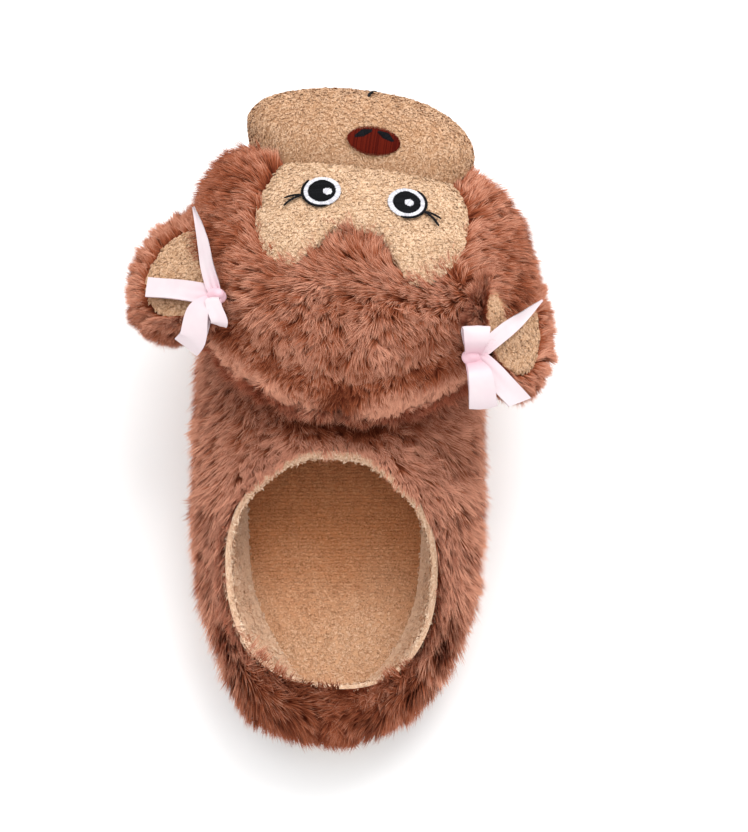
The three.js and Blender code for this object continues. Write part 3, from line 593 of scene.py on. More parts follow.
def pile(
    spots, nap, rng, tone, length, width, lift, bend, clump, pull, jitter, soft,
    speckle=0.16, fine=False,
):
    """Strands of pile with their roots in the skin, drawn into clumps.

    A strand is a kite, bent at the middle, or where it is fine one long thin triangle. lift and
    bend are the angles off the skin at the root and at the tip, in degrees. clump is the pitch of
    the clumps in mm, and pull how far the tips draw together. jitter turns the clumps, soft is the
    skin's share in a strand's shading, and tone and speckle shift its place in the colours.
    """
    root, normal, covered = spots
    count = len(root)
    flat = unit(nap - normal * dot(nap, normal))
    clumps = int(np.clip(covered / clump**2, 8, count))
    centres = rng.choice(count, size=clumps, replace=False)
    tree = kdtree.KDTree(len(centres))
    for k, c in enumerate(centres):
        tree.insert(root[c], k)
    tree.balance()
    own = centres[np.fromiter((tree.find(r)[1] for r in root), int, count)]

    shake = rng.normal(0, 1, count)
    turn = jitter * (shake[own] * 1.3 + rng.normal(0, 0.5, count))
    flat = turned(flat, normal, turn)
    grow = length * (1 + 0.16 * rng.normal(0, 1, count)[own] + 0.12 * rng.normal(0, 1, count))
    grow = np.clip(grow, 0.5 * length, 1.5 * length)
    rise = np.radians(lift + 8 * rng.normal(0, 1, count)[own] + 6 * rng.normal(0, 1, count))
    droop = np.radians(bend + 7 * rng.normal(0, 1, count))
    first = flat * np.cos(rise)[:, None] + normal * np.sin(rise)[:, None]
    second = flat * np.cos(droop)[:, None] + normal * np.sin(droop)[:, None]
    middle = root + first * (0.5 * grow)[:, None]
    tip = middle + second * (0.5 * grow)[:, None]
    middle = mix(middle, middle[own], 0.3 * pull)
    tip = mix(tip, tip[own], pull)

    axis = unit(tip - root)
    across = unit(np.cross(axis, normal))
    across = turned(across, axis, rng.normal(0, 0.3, count))
    facing = unit(np.cross(across, axis))
    away = dot(facing, normal) < 0
    across, facing = np.where(away, -across, across), np.where(away, -facing, facing)
    half = (width * rng.uniform(0.7, 1.3, count) / 2)[:, None] * across
    if fine:
        corners, reach, triangles = [root - half, root + half, tip], [0.0, 0.0, 1.0], [[0, 1, 2]]
    else:
        corners, reach = [root, middle + half, middle - half, tip], [0.0, 0.5, 0.5, 1.0]
        triangles = [[0, 1, 2], [2, 1, 3]]
    size = len(corners)
    at = np.stack(corners, 1).reshape(-1, 3)
    k = np.arange(count)[:, None] * size
    faces = np.concatenate([k + t for t in triangles])
    shade = unit(normal * soft + facing * (1 - soft))
    tones = np.clip(0.5 + 0.1 * shake[own] + speckle * rng.normal(0, 1, count) + tone, -0.5, 1.6)
    return {
        "at": at,
        "faces": [faces],
        "normals": np.repeat(shade, size, 0),
        "values": {"tip": np.tile(reach, count), "tone": np.repeat(tones, size)},
    }


# ---------------------------------------------------------------- materials


def shader(name, **inputs):
    material = bpy.data.materials.new(name)
    material.use_nodes = True
    tree = material.node_tree
    surface = next(n for n in tree.nodes if n.type == "BSDF_PRINCIPLED")
    for key, value in inputs.items():
        surface.inputs[key.replace("_", " ")].default_value = value
    return material, tree, surface


def node(tree, kind, **settings):
    made = tree.nodes.new("ShaderNode" + kind)
    for key, value in settings.items():
        if key in made.bl_rna.properties:
            setattr(made, key, value)
        else:
            made.inputs[key.replace("_", " ")].default_value = value
    return made


def ramp(tree, stops, factor):
    made = tree.nodes.new("ShaderNodeValToRGB")
    elements = made.color_ramp.elements
    while len(elements) < len(stops):
        elements.new(0.5)
    for element, (at, colour) in zip(elements, stops):
        element.position = at
        element.color = (*colour, 1)
    tree.links.new(factor, made.inputs["Fac"])
    return made.outputs["Color"]


def blend_colour(tree, how, factor, a, b):
    made = tree.nodes.new("ShaderNodeMix")
    made.data_type = "RGBA"
    made.blend_type = how
    for socket, value in zip((made.inputs[0], made.inputs[6], made.inputs[7]), (factor, a, b)):
        if isinstance(value, bpy.types.NodeSocket):
            tree.links.new(value, socket)
        elif isinstance(value, (int, float)):
            socket.default_value = value
        else:
            socket.default_value = (*value, 1)
    return made.outputs[2]


def maths(tree, operation, a, b=None):
    made = tree.nodes.new("ShaderNodeMath")
    made.operation = operation
    for socket, value in zip(made.inputs, (a, b)):
        if isinstance(value, bpy.types.NodeSocket):
            tree.links.new(value, socket)
        elif value is not None:
            socket.default_value = value
    return made.outputs[0]


def in_object(tree, kind, **settings):
    """A texture node that reads the object's own space."""
    made = node(tree, kind, **settings)
    tree.links.new(node(tree, "TexCoord").outputs["Object"], made.inputs["Vector"])
    return made


def noise(tree, size, detail=3.0, rough=0.6):
    """Noise with grains of about "size" mm."""
    scale = 1 / (size * MM)
    return in_object(tree, "TexNoise", Scale=scale, Detail=detail, Roughness=rough).outputs["Fac"]


def attribute(tree, name):
    made = tree.nodes.new("ShaderNodeAttribute")
    made.attribute_name = name
    return made.outputs["Fac"]


def finished(tree, surface, colour, height, strength, distance):
    """Gives a shader its colour, and a height as bump over a distance in mm."""
    tree.links.new(colour, surface.inputs["Base Color"])
    made = node(tree, "Bump", Strength=strength, Distance=distance * MM)
    tree.links.new(height, made.inputs["Height"])
    tree.links.new(made.outputs["Normal"], surface.inputs["Normal"])


def pile_material(name, stops, warm, patch_size, sheen, grain=0.5, rows=0.0):
    """Cloth with pile: colour runs from the roots to the tips, and shifts from clump to clump.

    Its painted-shade attribute is 1 where the cloth is darkened and warmed as painted shade with
    light bounced from the fur, and "ribbed" is 1 where the knit's rows show.
    """
    material, tree, surface = shader(
        name,
        Roughness=0.8,
        Sheen_Weight=sheen,
        Sheen_Roughness=0.5,
        Sheen_Tint=(*stops[-1], 1),
        Specular_IOR_Level=0.1,
    )
    off_middle = maths(tree, "SUBTRACT", attribute(tree, "tone"), 0.5)
    shift = maths(tree, "MULTIPLY", off_middle, TONE_SHIFT)
    shifted = maths(tree, "ADD", attribute(tree, "tip"), shift)
    colour = ramp(tree, list(zip(np.linspace(0, 1, len(stops)), stops)), shifted)
    patches = maths(tree, "MULTIPLY", noise(tree, patch_size), 0.7)
    colour = blend_colour(tree, "MULTIPLY", patches, colour, warm)
    # Painted shade and bounced light darken and warm the cloth where the attribute is 1.
    colour = blend_colour(tree, "MULTIPLY", attribute(tree, "painted_shade"), colour, PAINTED_SHADE_TINT)
    height = noise(tree, grain)
    if rows:
        ribs = maths(tree, "MULTIPLY", knit_rows(tree, rows), attribute(tree, "ribbed"))
        shade = maths(tree, "MULTIPLY", ribs, ROW_SHADE)
        colour = blend_colour(tree, "MULTIPLY", shade, colour, BETWEEN_ROWS)
        height = maths(tree, "SUBTRACT", height, ribs)
    finished(tree, surface, colour, height, 0.35, 0.35)
    return material


def knit_rows(tree, pitch):
    """Fine rows across the slipper, broken up by noise. Bands are 1 in the gaps between rows."""
    bands = in_object(
        tree,
        "TexWave",
        bands_direction="Y",
        Scale=WAVE_SCALE / (pitch * MM),
        Distortion=3.6,
        Detail=2.5,
        Detail_Scale=1.6,
    )
    gaps = ramp(tree, [(0.55, (0, 0, 0)), (0.95, (1, 1, 1))], bands.outputs["Fac"])
    return maths(tree, "MULTIPLY", gaps, noise(tree, 4))


TONE_SHIFT = 0.75
ROW_SHADE = 0.55
WAVE_SCALE = 0.314  # how far apart a wave texture's bands lie at scale 1
# Tint of the painted shade and of the light bounced from the fur.
PAINTED_SHADE_TINT = (0.88, 0.63, 0.46)
BETWEEN_ROWS = (0.55, 0.44, 0.38)

# Colours from root to tip. The darker roots are partly the pile's own colour and partly painted
# shade deep in the pile.
FUR = [(0.12, 0.02, 0.006), (0.36, 0.1, 0.044), (0.74, 0.37, 0.25)]
TERRY = [(0.36, 0.185, 0.09), (0.58, 0.345, 0.2), (0.76, 0.52, 0.35)]
# A lighter copy of TERRY for the face patch, as painted light where it faces up.
FACE_TERRY = [(0.46, 0.27, 0.15), (0.7, 0.47, 0.3), (0.86, 0.63, 0.44)]
FOOTBED = [(0.46, 0.25, 0.13), (0.76, 0.47, 0.285), (0.9, 0.64, 0.44)]
# A lighter copy of TERRY for the lining, as painted light inside the shaded collar.
LINING = [(0.58, 0.36, 0.22), (0.84, 0.6, 0.42), (0.95, 0.77, 0.6)]
fur = pile_material("brown_fur", FUR, (0.82, 0.7, 0.62), 14, 0.07)
terry = pile_material("beige_terry", TERRY, (0.92, 0.85, 0.78), 9, 0.15, 0.8)
face_terry = pile_material("face_terry", FACE_TERRY, (0.95, 0.9, 0.84), 9, 0.15, 0.8, 1.3)
lining_terry = pile_material("lining_terry", LINING, (0.94, 0.88, 0.82), 9, 0.15, 0.8)
footbed_terry = pile_material("footbed_terry", FOOTBED, (0.88, 0.78, 0.7), 7, 0.12, 0.8, 1.55)


def satin_material():
    material, tree, surface = shader(
        "pale_satin", Roughness=0.36, Sheen_Weight=0.1, Specular_IOR_Level=0.5, Anisotropic=0.5
    )
    weave = in_object(tree, "TexWave", Scale=1600.0, Distortion=0.6)
    colour = blend_colour(tree, "MIX", noise(tree, 6), (0.66, 0.59, 0.6), (0.63, 0.5, 0.535))
    # Pinker and darker near the knots, as painted shade in the gathered folds.
    colour = blend_colour(tree, "MIX", attribute(tree, "blush"), colour, (0.7, 0.44, 0.5))
    finished(tree, surface, colour, weave.outputs["Fac"], 0.15, 0.05)
    return material


def thread_material(name, dark, light, gloss, shine=0.18):
    material, tree, surface = shader(name, Roughness=gloss, Specular_IOR_Level=shine)
    colour = ramp(tree, [(0.25, dark), (0.75, light)], attribute(tree, "tone"))
    finished(tree, surface, colour, noise(tree, 0.25, 2.0), 0.35, 0.08)
    return material


def sole_material():
    material, tree, surface = shader("sole_cloth", Roughness=0.88, Sheen_Weight=0.15)
    weave = in_object(tree, "TexVoronoi", Scale=900.0).outputs["Distance"]
    colour = ramp(tree, [(0.0, (0.42, 0.29, 0.18)), (0.7, (0.56, 0.41, 0.27))], weave)
    patches = maths(tree, "MULTIPLY", noise(tree, 25), 0.6)
    colour = blend_colour(tree, "MULTIPLY", patches, colour, (0.8, 0.75, 0.7))
    finished(tree, surface, colour, weave, 0.4, 0.25)
    return material


satin = satin_material()
BLACK = [(0.002, 0.002, 0.003), (0.006, 0.006, 0.008)]
WHITE = [(0.52, 0.51, 0.55), (0.72, 0.71, 0.74)]
RED = [(0.07, 0.004, 0.0015), (0.115, 0.009, 0.003)]
black_thread = thread_material("black_thread", *BLACK, 0.5, 0.08)
white_thread = thread_material("white_thread", *WHITE, 0.5)
red_thread = thread_material("red_thread", *RED, 0.65, 0.06)
sole_cloth = sole_material()


# ---------------------------------------------------------------- upper, head, muzzle and ears

# How many strands or loops of pile each piece has.
UPPER_STRANDS, HEAD_STRANDS, EAR_STRANDS = 156000, 160000, 44000
MUZZLE_LOOPS, FACE_LOOPS, EAR_LOOPS = 52000, 36000, 12000
LINING_LOOPS, FOOTBED_LOOPS = 32000, 34000
# Their length in mm, before what shortens them.
UPPER_FUR, HEAD_FUR, EAR_FUR = 9.0, 8.6, 6.6
# How far a skin lies inside its solid's surface, with its fur standing on it.
HEAD_SKIN, MUZZLE_SKIN, EAR_SKIN, EAR_RIM_SKIN = -5.0, -1.2, -2.6, -6.0
FUR_LIFT = 46
FUR_STRAND = {"bend": 22, "pull": 0.16, "fine": True}


def steps(low, high, count):
    return np.linspace(low, high, count)


def above_floor(part, least=0.3):
    part["at"][:, 2] = np.maximum(part["at"][:, 2], least)
    return part


def make_upper():
    def surface(u, s):
        way, side = round_way(u)
        full = np.where(side < 0, 4.6, 2.8) * bell(way - 0.155, 0.075)
        full = full + np.where(side < 0, 1.3, 0) * smooth(0.2, 0.3, way) * smooth(0.75, 0.6, way)
        inset = (PILE_UNDER_FUR - full * smooth(1.0, 0.5, s)) * (1 - 0.4 * smooth(0.86, 1.0, s))
        return upper_point(u, s * (1 - 0.024 * smooth(0.5, 0.9, way) * smooth(0.3, 1.0, s)), inset)

    def outward(q):
        spine = np.clip(q[..., :2], -30, 30) * [1, 3]
        return np.concatenate([q[..., :2] - spine, q[..., 2:] - 12], -1)

    def open_to_view(q):
        return (~in_head(q, -6)) & (~in_muzzle(q, -4))

    p = grid(surface, steps(0, 2, 241), steps(-1, 1, 37))
    n = grid_normals(p, outward)
    rng = np.random.default_rng(11)
    spots = scatter(p, n, UPPER_STRANDS, rng, open_to_view)
    root = spots[0]
    x, y, _ = xyz(root)
    heel, vamp = smooth(-70, -125, y), smooth(-45, -5, y)
    across = (x - 2) / 60
    rx, ry = collar_point(x, y)
    at_collar = bell(np.hypot(x - rx, y - ry), 9)
    inward = unit(COLLAR_CENTRE - np.stack([x, y], -1))
    over_rim = (0.9 + 1.1 * smooth(-40, -75, y)) * at_collar
    nap = points(
        -1.1 * heel * across + 0.35 * vamp * across + over_rim * inward[:, 0],
        -0.8 + 1.9 * smooth(50, 90, y) + over_rim * inward[:, 1],
        -0.45 - 1.6 * smooth(70, 110, y),
    )
    nap = nap + 0.28 * ripples(root, 21, 5)
    # The fur's tone holds painted light: painted shade under the head, along the heel seam's crease
    # and over the heel, and painted highlights along the collar's rim and the flanks. The ripple is
    # the fur's own random tone.
    under_head = bell(np.maximum(head_depth(into(head_frame, root), 0) - 1, 0), 0.26)
    seam = heel * bell(x + 9, 2.5)
    flank = smooth(0.55, 0.95, np.abs(across)) * (1 - heel)
    rim_light = at_collar * (0.3 + 0.35 * smooth(-50, -35, y))
    shade = 0.06 + 0.1 * ripple(root, 15, 3) - 0.3 * seam - 1.5 * under_head + rim_light
    shade = shade - 0.66 * heel * smooth(1.1, 0.3, np.abs(across)) + 0.24 * flank
    hairs = pile(
        spots, nap, rng, shade,
        length=UPPER_FUR * (1 - 0.15 * at_collar * smooth(-75, -40, y) - 0.3 * seam),
        lift=FUR_LIFT - 8 * at_collar,
        width=0.58, clump=1.7, jitter=0.26, soft=0.55, **FUR_STRAND,
    )
    base = skin(p, n, values={"tip": 0.32, "tone": 0.4})
    mesh_piece("upper_fur", [base, above_floor(hairs)], fur, ["upper"])


def sphere_grid(shape, around, upward):
    def f(turn, level):
        flat = np.cos(level)
        return shape(points(np.sin(turn) * flat, np.cos(turn) * flat, np.sin(level)))

    half = math.pi / 2
    return grid(f, steps(0, 2 * math.pi, around), steps(-half, half, upward))


def on_vamp(p, inset):
    """Points inside the upper are raised to its surface."""
    x, y, z = xyz(p)
    inside = share_out(x, y, FUR_OVERHANG - inset) < 1
    return points(x, y, np.where(inside, np.maximum(z, dome_height(x, y, inset)), z))


def make_head():
    def shape(d):
        x, y, _ = xyz(d)
        turn = np.degrees(np.arctan2(x, y))
        cheek = bell(turn + 54, 22) + 0.4 * bell(turn - 50, 18)
        lip_edge = smooth(-0.5, -0.85, y) * bell(x, 0.4)
        grow = HEAD_SKIN + 2.8 * cheek - 1.4 * lip_edge
        return on_vamp(through(head_frame, head_point(d, grow)), 4.5)

    inner = PATCH_MIDDLE + (patch_ring() - PATCH_MIDDLE) * 0.955

    def open_to_view(q):
        x, y, z = xyz(into(head_frame, q))
        on_patch = in_ring(inner, x, y) & (z > 0)
        return ~on_patch & ~in_muzzle(q, -2) & ~inside_upper(q, 5.5)

    p = sphere_grid(shape, 145, 73)
    n = grid_normals(p, lambda q: q - head_frame[:3, 3])
    rng = np.random.default_rng(12)
    spots = scatter(p, n, HEAD_STRANDS, rng, open_to_view)
    root = spots[0]
    x, y, z = xyz(into(head_frame, root))
    out = np.hypot(x / (HEAD_WIDTH / 2), y / (HEAD_LENGTH / 2))
    out = out / plan_reach(x / HEAD_WIDTH, y / HEAD_LENGTH)
    forward = np.tanh((y + 16) / 12)
    parting = bell(y + 16, 8)
    peak = bell(x + 1, 13, y - 1, 9)
    flank = smooth(0.45, 0.8, np.abs(x) / (HEAD_WIDTH / 2))
    spread = 1.1 * peak * np.clip((x + 1.5) / 9, -1, 1)
    nap = points(
        0.5 * x / 40 + 0.9 * np.sign(x) * flank - 1.3 * parting + spread,
        forward * (1 - 0.75 * flank) - 0.45 * flank,
        np.full(len(root), -0.3),
    )
    tousled = (0.3 - 0.16 * np.maximum(parting, peak))[:, None]
    nap = nap @ head_frame[:3, :3].T + tousled * ripples(root, 19, 15)
    back = np.clip(-y / np.maximum(np.hypot(x, y), 1), 0, 1)
    crease = back**0.5 * bell(out - 0.84, 0.05) * (z > 0)
    seam = back * smooth(-12, -30, y) * bell(x, 2.2)
    lip = back**0.5 * smooth(0.86, 0.93, out)
    near = back**0.5 * bell(out - 0.8, 0.07) * (z > 0)
    # The tone holds painted light: painted shade in the trough of the rim seam, along the back seam
    # and over the flanks, most on the left, and a painted highlight on the lip. The ripple is the
    # fur's own random tone, and the peak is lighter.
    shade = 0.1 * ripple(root, 15, 13) - 0.4 * crease - 0.25 * seam + 0.62 * lip
    shade = shade - 0.3 * flank - 0.1 * flank * (x < 0) + 0.14 * peak
    short = 0.45 * np.maximum(near, crease)
    hairs = pile(
        spots, nap, rng, shade,
        length=HEAD_FUR * (1 - short - 0.3 * seam - 0.5 * lip - 0.12 * peak),
        lift=FUR_LIFT + 6 * parting * (1 - flank) - 14 * lip,
        width=0.6, clump=1.8, jitter=0.26, soft=0.55, **FUR_STRAND,
    )
    base = skin(p, n, values={"tip": 0.34, "tone": 0.4})
    mesh_piece("head_fur", [base, hairs], fur, ["head"])


def terry_pile(spots, rng, tone, length, width, clump, pull, speckle=0.3):
    nap = ripples(spots[0], 7, 40) + [0, -0.4, 0]
    return pile(
        spots, nap, rng, tone, length, width, lift=36, bend=4,
        clump=clump, pull=pull, jitter=0.9, soft=0.86, speckle=speckle,
    )


def make_muzzle():
    def shape(d):
        x, y, z = xyz(d)
        corner = 5.0 * smooth(0.1, 0.8, x) * smooth(0.1, -0.7, y)
        side = 4.5 * bell(x + 0.85, 0.3) - 1.6 * bell(x - 0.85, 0.3)
        side = side * smooth(-0.1, 0.4, z) * smooth(0.5, -0.1, y)
        moved = corner[..., None] * [0.5, -1, 0] + side[..., None] * [-1, 0, 0.3]
        return on_vamp(through(muzzle_frame, muzzle_point(d, MUZZLE_SKIN) + moved), 3)

    def open_to_view(q):
        return ~in_head(q, 0.5) & ~inside_upper(q, 3.5)

    p = sphere_grid(shape, 121, 61)
    n = grid_normals(p, lambda q: q - muzzle_frame[:3, 3])
    rng = np.random.default_rng(13)
    spots = scatter(p, n, MUZZLE_LOOPS, rng, open_to_view)
    hairs = terry_pile(spots, rng, 0.06 * ripple(spots[0], 12, 23), 1.7, 0.42, 0.85, 0.3)
    base = skin(p, n, drop_faces=in_head(p, -2), values={"tip": 0.4, "tone": 0.5})
    mesh_piece("muzzle_terry", [base, hairs], terry, ["muzzle"])


def disc_grid(ring, middle, place, rows, grow, sunk, edge):
    """A patch over an outline: rings of points from its middle out, sunk towards its edge."""
    shares = np.sqrt(np.linspace(0.0, 1.0, rows))
    shares = np.concatenate([shares, [1.012, 1.016]])
    heights = grow - sunk * shares[: rows - 1] ** 7
    heights = np.concatenate([heights, [grow - sunk - 0.1, grow - sunk - 0.6, edge]])
    closed = np.concatenate([ring, ring[:1]])
    spokes = middle + (closed[:, None, :] - middle) * shares[None, :, None]
    columns = [place(spokes[:, j, 0], spokes[:, j, 1], h) for j, h in enumerate(heights)]
    return np.stack(columns, 1)


def make_face_patch():
    p = disc_grid(patch_ring(), PATCH_MIDDLE, on_head, 30, 1.0, 3.2, -5.0)
    n = grid_normals(p, lambda q: np.broadcast_to(head_frame[:3, 2], q.shape))
    rng = np.random.default_rng(14)
    spots = scatter(p[:, :-2], n[:, :-2], FACE_LOOPS, rng, lambda q: ~in_muzzle(q, -1))
    hairs = terry_pile(spots, rng, 0.06 * ripple(spots[0], 8, 24), 1.5, 0.4, 1.1, 0.45, 0.4)
    base = skin(p, n, values={"tip": 0.45, "tone": 0.5})
    for part in (hairs, base):
        part["values"]["ribbed"] = 0.7
    mesh_piece("face_patch_terry", [base, hairs], face_terry, ["face_patch"])


def oval_ring(width, height, count):
    t = np.linspace(0, 2 * math.pi, count, endpoint=False)
    return np.stack([width / 2 * np.cos(t), height / 2 * np.sin(t)], -1)


def make_ear(name, seed):
    at_frame = ear_frame(name)
    side = math.copysign(1, EARS[name][0])
    patch_size = np.array([2 * EAR_REACH * EAR_PATCH_SHARE, EAR_LENGTH * EAR_PATCH_SHARE])
    hole = oval_ring(*(patch_size - 1), 48)

    def shape(d):
        return on_vamp(through(at_frame, ear_point(d, EAR_SKIN, EAR_RIM_SKIN)), 3)

    def open_to_view(q):
        x, y, z = xyz(into(at_frame, q))
        on_patch = in_ring(hole, x, y) & (z > 0)
        return (~on_patch & ~in_head(q, -3)) * 1.0

    def place(x, y, grow):
        return drop(at_frame, x, y, ear_depth, at_frame, grow, 40)

    p = sphere_grid(shape, 97, 33)
    n = grid_normals(p, lambda q: q - at_frame[:3, 3])
    rng = np.random.default_rng(seed)
    spots = scatter(p, n, EAR_STRANDS, rng, open_to_view)
    local = into(at_frame, spots[0])
    x, y, _ = xyz(local)
    out = np.hypot(x / EAR_REACH, y / (EAR_LENGTH / 2))
    nap = unit(points(x + side * 4, y, np.full(len(local), -1.0))) @ at_frame[:3, :3].T
    nap = nap + 0.15 * ripples(spots[0], 16, 30)
    hairs = pile(
        spots, nap, rng, 0.08 * ripple(local, 13, 33),
        length=EAR_FUR - 0.4 * smooth(0.75, 1.0, out),
        lift=44, width=0.54, clump=1.5, jitter=0.32, soft=0.5, **FUR_STRAND,
    )
    base = skin(p, n, drop_faces=in_head(p, -6), values={"tip": 0.2, "tone": 0.4})
    mesh_piece(f"ear_{name}_fur", [base, hairs], fur, [f"ear_{name}"])

    p = disc_grid(oval_ring(*patch_size, 64), np.zeros(2), place, 16, 0.9, 1.2, -2.0)
    n = grid_normals(p, lambda q: np.broadcast_to(at_frame[:3, 2], q.shape))
    spots = scatter(p[:, :-2], n[:, :-2], EAR_LOOPS, rng, lambda q: ~in_head(q, -1))
    hairs = terry_pile(spots, rng, 0.05 * ripple(spots[0], 9, seed), 1.6, 0.42, 0.85, 0.3)
    base = skin(p, n, drop_faces=in_head(p, -3), values={"tip": 0.45, "tone": 0.5})
    inner = f"ear_inner_{name}"
    mesh_piece(f"{inner}_terry", [base, hairs], terry, [inner])


# ---------------------------------------------------------------- lining, footbed and sole

# The rim's rows: inward as a share of the roll, then mm below the upper's top at back and front.
LINING_RIM = [(-0.6, 6.2, 5.0), (0, 5.4, 4.0), (0.5, 5.8, 4.3), (1, 7.4, 5.2), (1.1, 10, 6.5)]
LINING_HIDDEN = 9  # rows of its grid that lie under the fur
# The outsole's edge: how far out of the sole's outline, and how high.
OUTSOLE_EDGE = [
    (-4.0, 0.6), (-2.0, 0.6), (-0.9, 0.9), (-0.25, 1.5), (0, 2.4), (-0.15, 3.4), (0, 4.4),
    (0.0, 6.2), (-0.3, 7.4), (-1.0, 8.4), (-2.2, 9.0), (-5.0, 9.0),
]
STUD_PITCH, STUD_SIDES = 7.0, 10
STUD_RINGS = [(1.9, 0.62), (1.7, 0.2), (1.0, 0.0)]


def curve_stations(knots, between):
    """Points on a uniform Catmull-Rom curve through each row of knots."""
    rows = []
    last = knots.shape[1] - 1
    for i in range(last):
        a, b = knots[:, max(i - 1, 0)], knots[:, i]
        c, d = knots[:, i + 1], knots[:, min(i + 2, last)]
        for t in np.linspace(0, 1, between, endpoint=False):
            h = (2 * t**3 - 3 * t**2 + 1) * b + (3 * t**2 - 2 * t**3) * c
            rows.append(h + (t**3 - 2 * t**2 + t) * (c - a) / 2 + (t**3 - t**2) * (d - b) / 2)
    rows.append(knots[:, -1])
    return np.stack(rows, 1)


def make_lining():
    """The terry inside: from under the fur over the collar's roll and down to the footbed."""
    us = steps(0, 2, 241)
    way, side = round_way(us)
    rx, ry = collar_point(*edge_point(way, side, FUR_OVERHANG))
    inward = unit(COLLAR_CENTRE - np.stack([rx, ry], -1))
    ry = ry + 3.6 * smooth(0.5, 0.9, way)
    reach = np.hypot(rx - COLLAR_CENTRE[0], ry - COLLAR_CENTRE[1])
    front = np.clip(-inward[:, 1] * reach / (COLLAR_LENGTH / 2), 0, 1)
    roll = 0.5 * LIP_ROLL * mix(1, 0.5, front)

    def rim(push, back_down, front_down):
        x, y = rx + inward[:, 0] * roll * push, ry + inward[:, 1] * roll * push
        return points(x, y, dome_height(rx, ry, 0) - mix(back_down, front_down, front))

    def wall(t, inset):
        return wall_point(us, np.full(len(us), t), inset)

    def hem(share, more=0):
        return hem_point(us, np.full(len(us), share), lining_inset(share, way) + more)

    stations = [wall(0.9, 8.5)] + [rim(*row) for row in LINING_RIM]
    edge = stations[-1]
    over = np.where(side > 0, 4.2, 3.4 * smooth(0.4, 0.18, way))
    over = over * smooth(0.62, 0.45, way) * smooth(0.0, 0.06, way)
    foot = hem(FOOTBED_SHARE, over)
    foot[:, 2] += 0.3 + 0.24 * over
    taut = (0.85 * (1 - smooth(0.3, 0.55, way)))[:, None]
    walls = [wall(t, UPPER_WALL) for t in (0.9, 0.75, 0.6, 0.45, 0.3, 0.15, 0)] + [hem(0.6)]
    for k, at in enumerate(walls):
        stations.append(mix(at, mix(edge, foot, (k + 1) / (len(walls) + 1)), taut))
    p = curve_stations(np.stack(stations + [foot], 1), 4)
    n = grid_normals(p, lambda q: np.array([*COLLAR_CENTRE, 95.0]) - q)

    def open_to_view(q):
        _, y, z = xyz(q)
        return smooth(12, -12, y) * (z > 12) * (1 + (z > 40))

    rng = np.random.default_rng(15)
    spots = scatter(p[:, LINING_HIDDEN:], n[:, LINING_HIDDEN:], LINING_LOOPS, rng, open_to_view)
    # Lighter down the walls, as painted light on the shaded inside of the collar. The ripple is the
    # terry's own random tone.
    tone = 0.1 * smooth(60, 50, spots[0][:, 2]) - 0.12 + 0.05 * ripple(spots[0], 12, 25)
    hairs = terry_pile(spots, rng, tone, 1.7, 0.42, 1.1, 0.4, 0.36)
    base = skin(p, n, values={"tip": 0.45, "tone": 0.5})
    mesh_piece("collar_lining", [base, hairs], lining_terry)


def across_grid(grow, height, rows, columns):
    """A sheet from side to side of the sole's outline, from heel to toe."""

    def f(way, c):
        lx, ly = edge_point(way, -1.0, grow(way))
        rx, ry = edge_point(way, 1.0, grow(way))
        x, y = mix(lx, rx, (c + 1) / 2), mix(ly, ry, (c + 1) / 2)
        return points(x, y, height(way, c, x, y) + spring(y))

    return grid(f, steps(0, 1, rows), steps(-1, 1, columns))


def flat_skin(grow, height, rows, columns, up, **values):
    p = across_grid(grow, lambda way, c, x, y: np.full(x.shape, height), rows, columns)
    return skin(p, up * upward(p), values=values)


def upward(q):
    return np.broadcast_to(np.array([0, 0, 1.0]), q.shape)


def make_insole():
    edge_height = INSOLE_THICK - INSOLE_CROWN

    def fit(way):
        return hem_grow(FOOTBED_SHARE) - lining_inset(FOOTBED_SHARE, way) - INSOLE_GAP + 0.5

    def height(way, c, x, y):
        out = np.maximum(np.abs(c), np.abs(2 * way - 1) ** 9)
        crown = INSOLE_CROWN * (1 - out**4)
        heel = 0.8 * bell(x + 1, 20, y + 82, 24)
        ball = 0.6 * bell(x - 2, 26, y - 45, 24)
        return SEAT_HEIGHT + INSOLE_THICK - INSOLE_CROWN + crown - heel - ball

    p = across_grid(fit, height, 121, 41)
    n = grid_normals(p, upward)
    rng = np.random.default_rng(16)
    spots = scatter(p, n, FOOTBED_LOOPS, rng, lambda q: smooth(20, -8, q[..., 1]))
    hairs = terry_pile(spots, rng, 0.08 * ripple(spots[0], 8, 26), 1.4, 0.42, 1.1, 0.45, 0.42)
    base = skin(p, n, values={"tip": 0.45, "tone": 0.5})
    for part in (hairs, base):
        q = part["at"]
        # Darker and warmer towards the toe: painted shade under the vamp, with light bounced from
        # the fur.
        part["values"]["painted_shade"] = smooth(-98, -38, q[:, 1] + 3 * ripple(q, 30, 27))
        part["values"]["ribbed"] = 0.15 + 0.85 * smooth(-85, -55, q[:, 1])
    under = flat_skin(fit, SEAT_HEIGHT, 61, 11, -1, tip=0.2, tone=0.4)
    way, side = round_way(steps(0, 2, 161))
    ex, ey = edge_point(way, side, fit(way))
    w = np.stack([points(ex, ey, SEAT_HEIGHT + h + spring(ey)) for h in (0, 2.2, edge_height)], 1)
    sides = skin(w, grid_normals(w, lambda q: q * [1, 1, 0]), values={"tip": 0.3, "tone": 0.5})
    parts = [base, hairs, under, sides]
    mesh_piece("footbed", parts, footbed_terry, ["insole"])


def make_outsole():
    way, side = round_way(steps(0, 2, 241))
    rows = []
    for grow, up in OUTSOLE_EDGE:
        x, y = edge_point(way, side, grow)
        rows.append(points(x, y, up + spring(y)))
    p = np.stack(rows, 1)
    n = grid_normals(p, lambda q: np.concatenate([q[..., :2], 6 * (q[..., 2:] - 4.5)], -1))
    parts = [skin(p, n)]
    for (grow, up), facing in ((OUTSOLE_EDGE[-1], 1), (OUTSOLE_EDGE[0], -1)):
        parts.append(flat_skin(lambda way: grow, up, 81, 17, facing))
    mesh_piece("outsole_pad", parts, sole_cloth, ["outsole"])


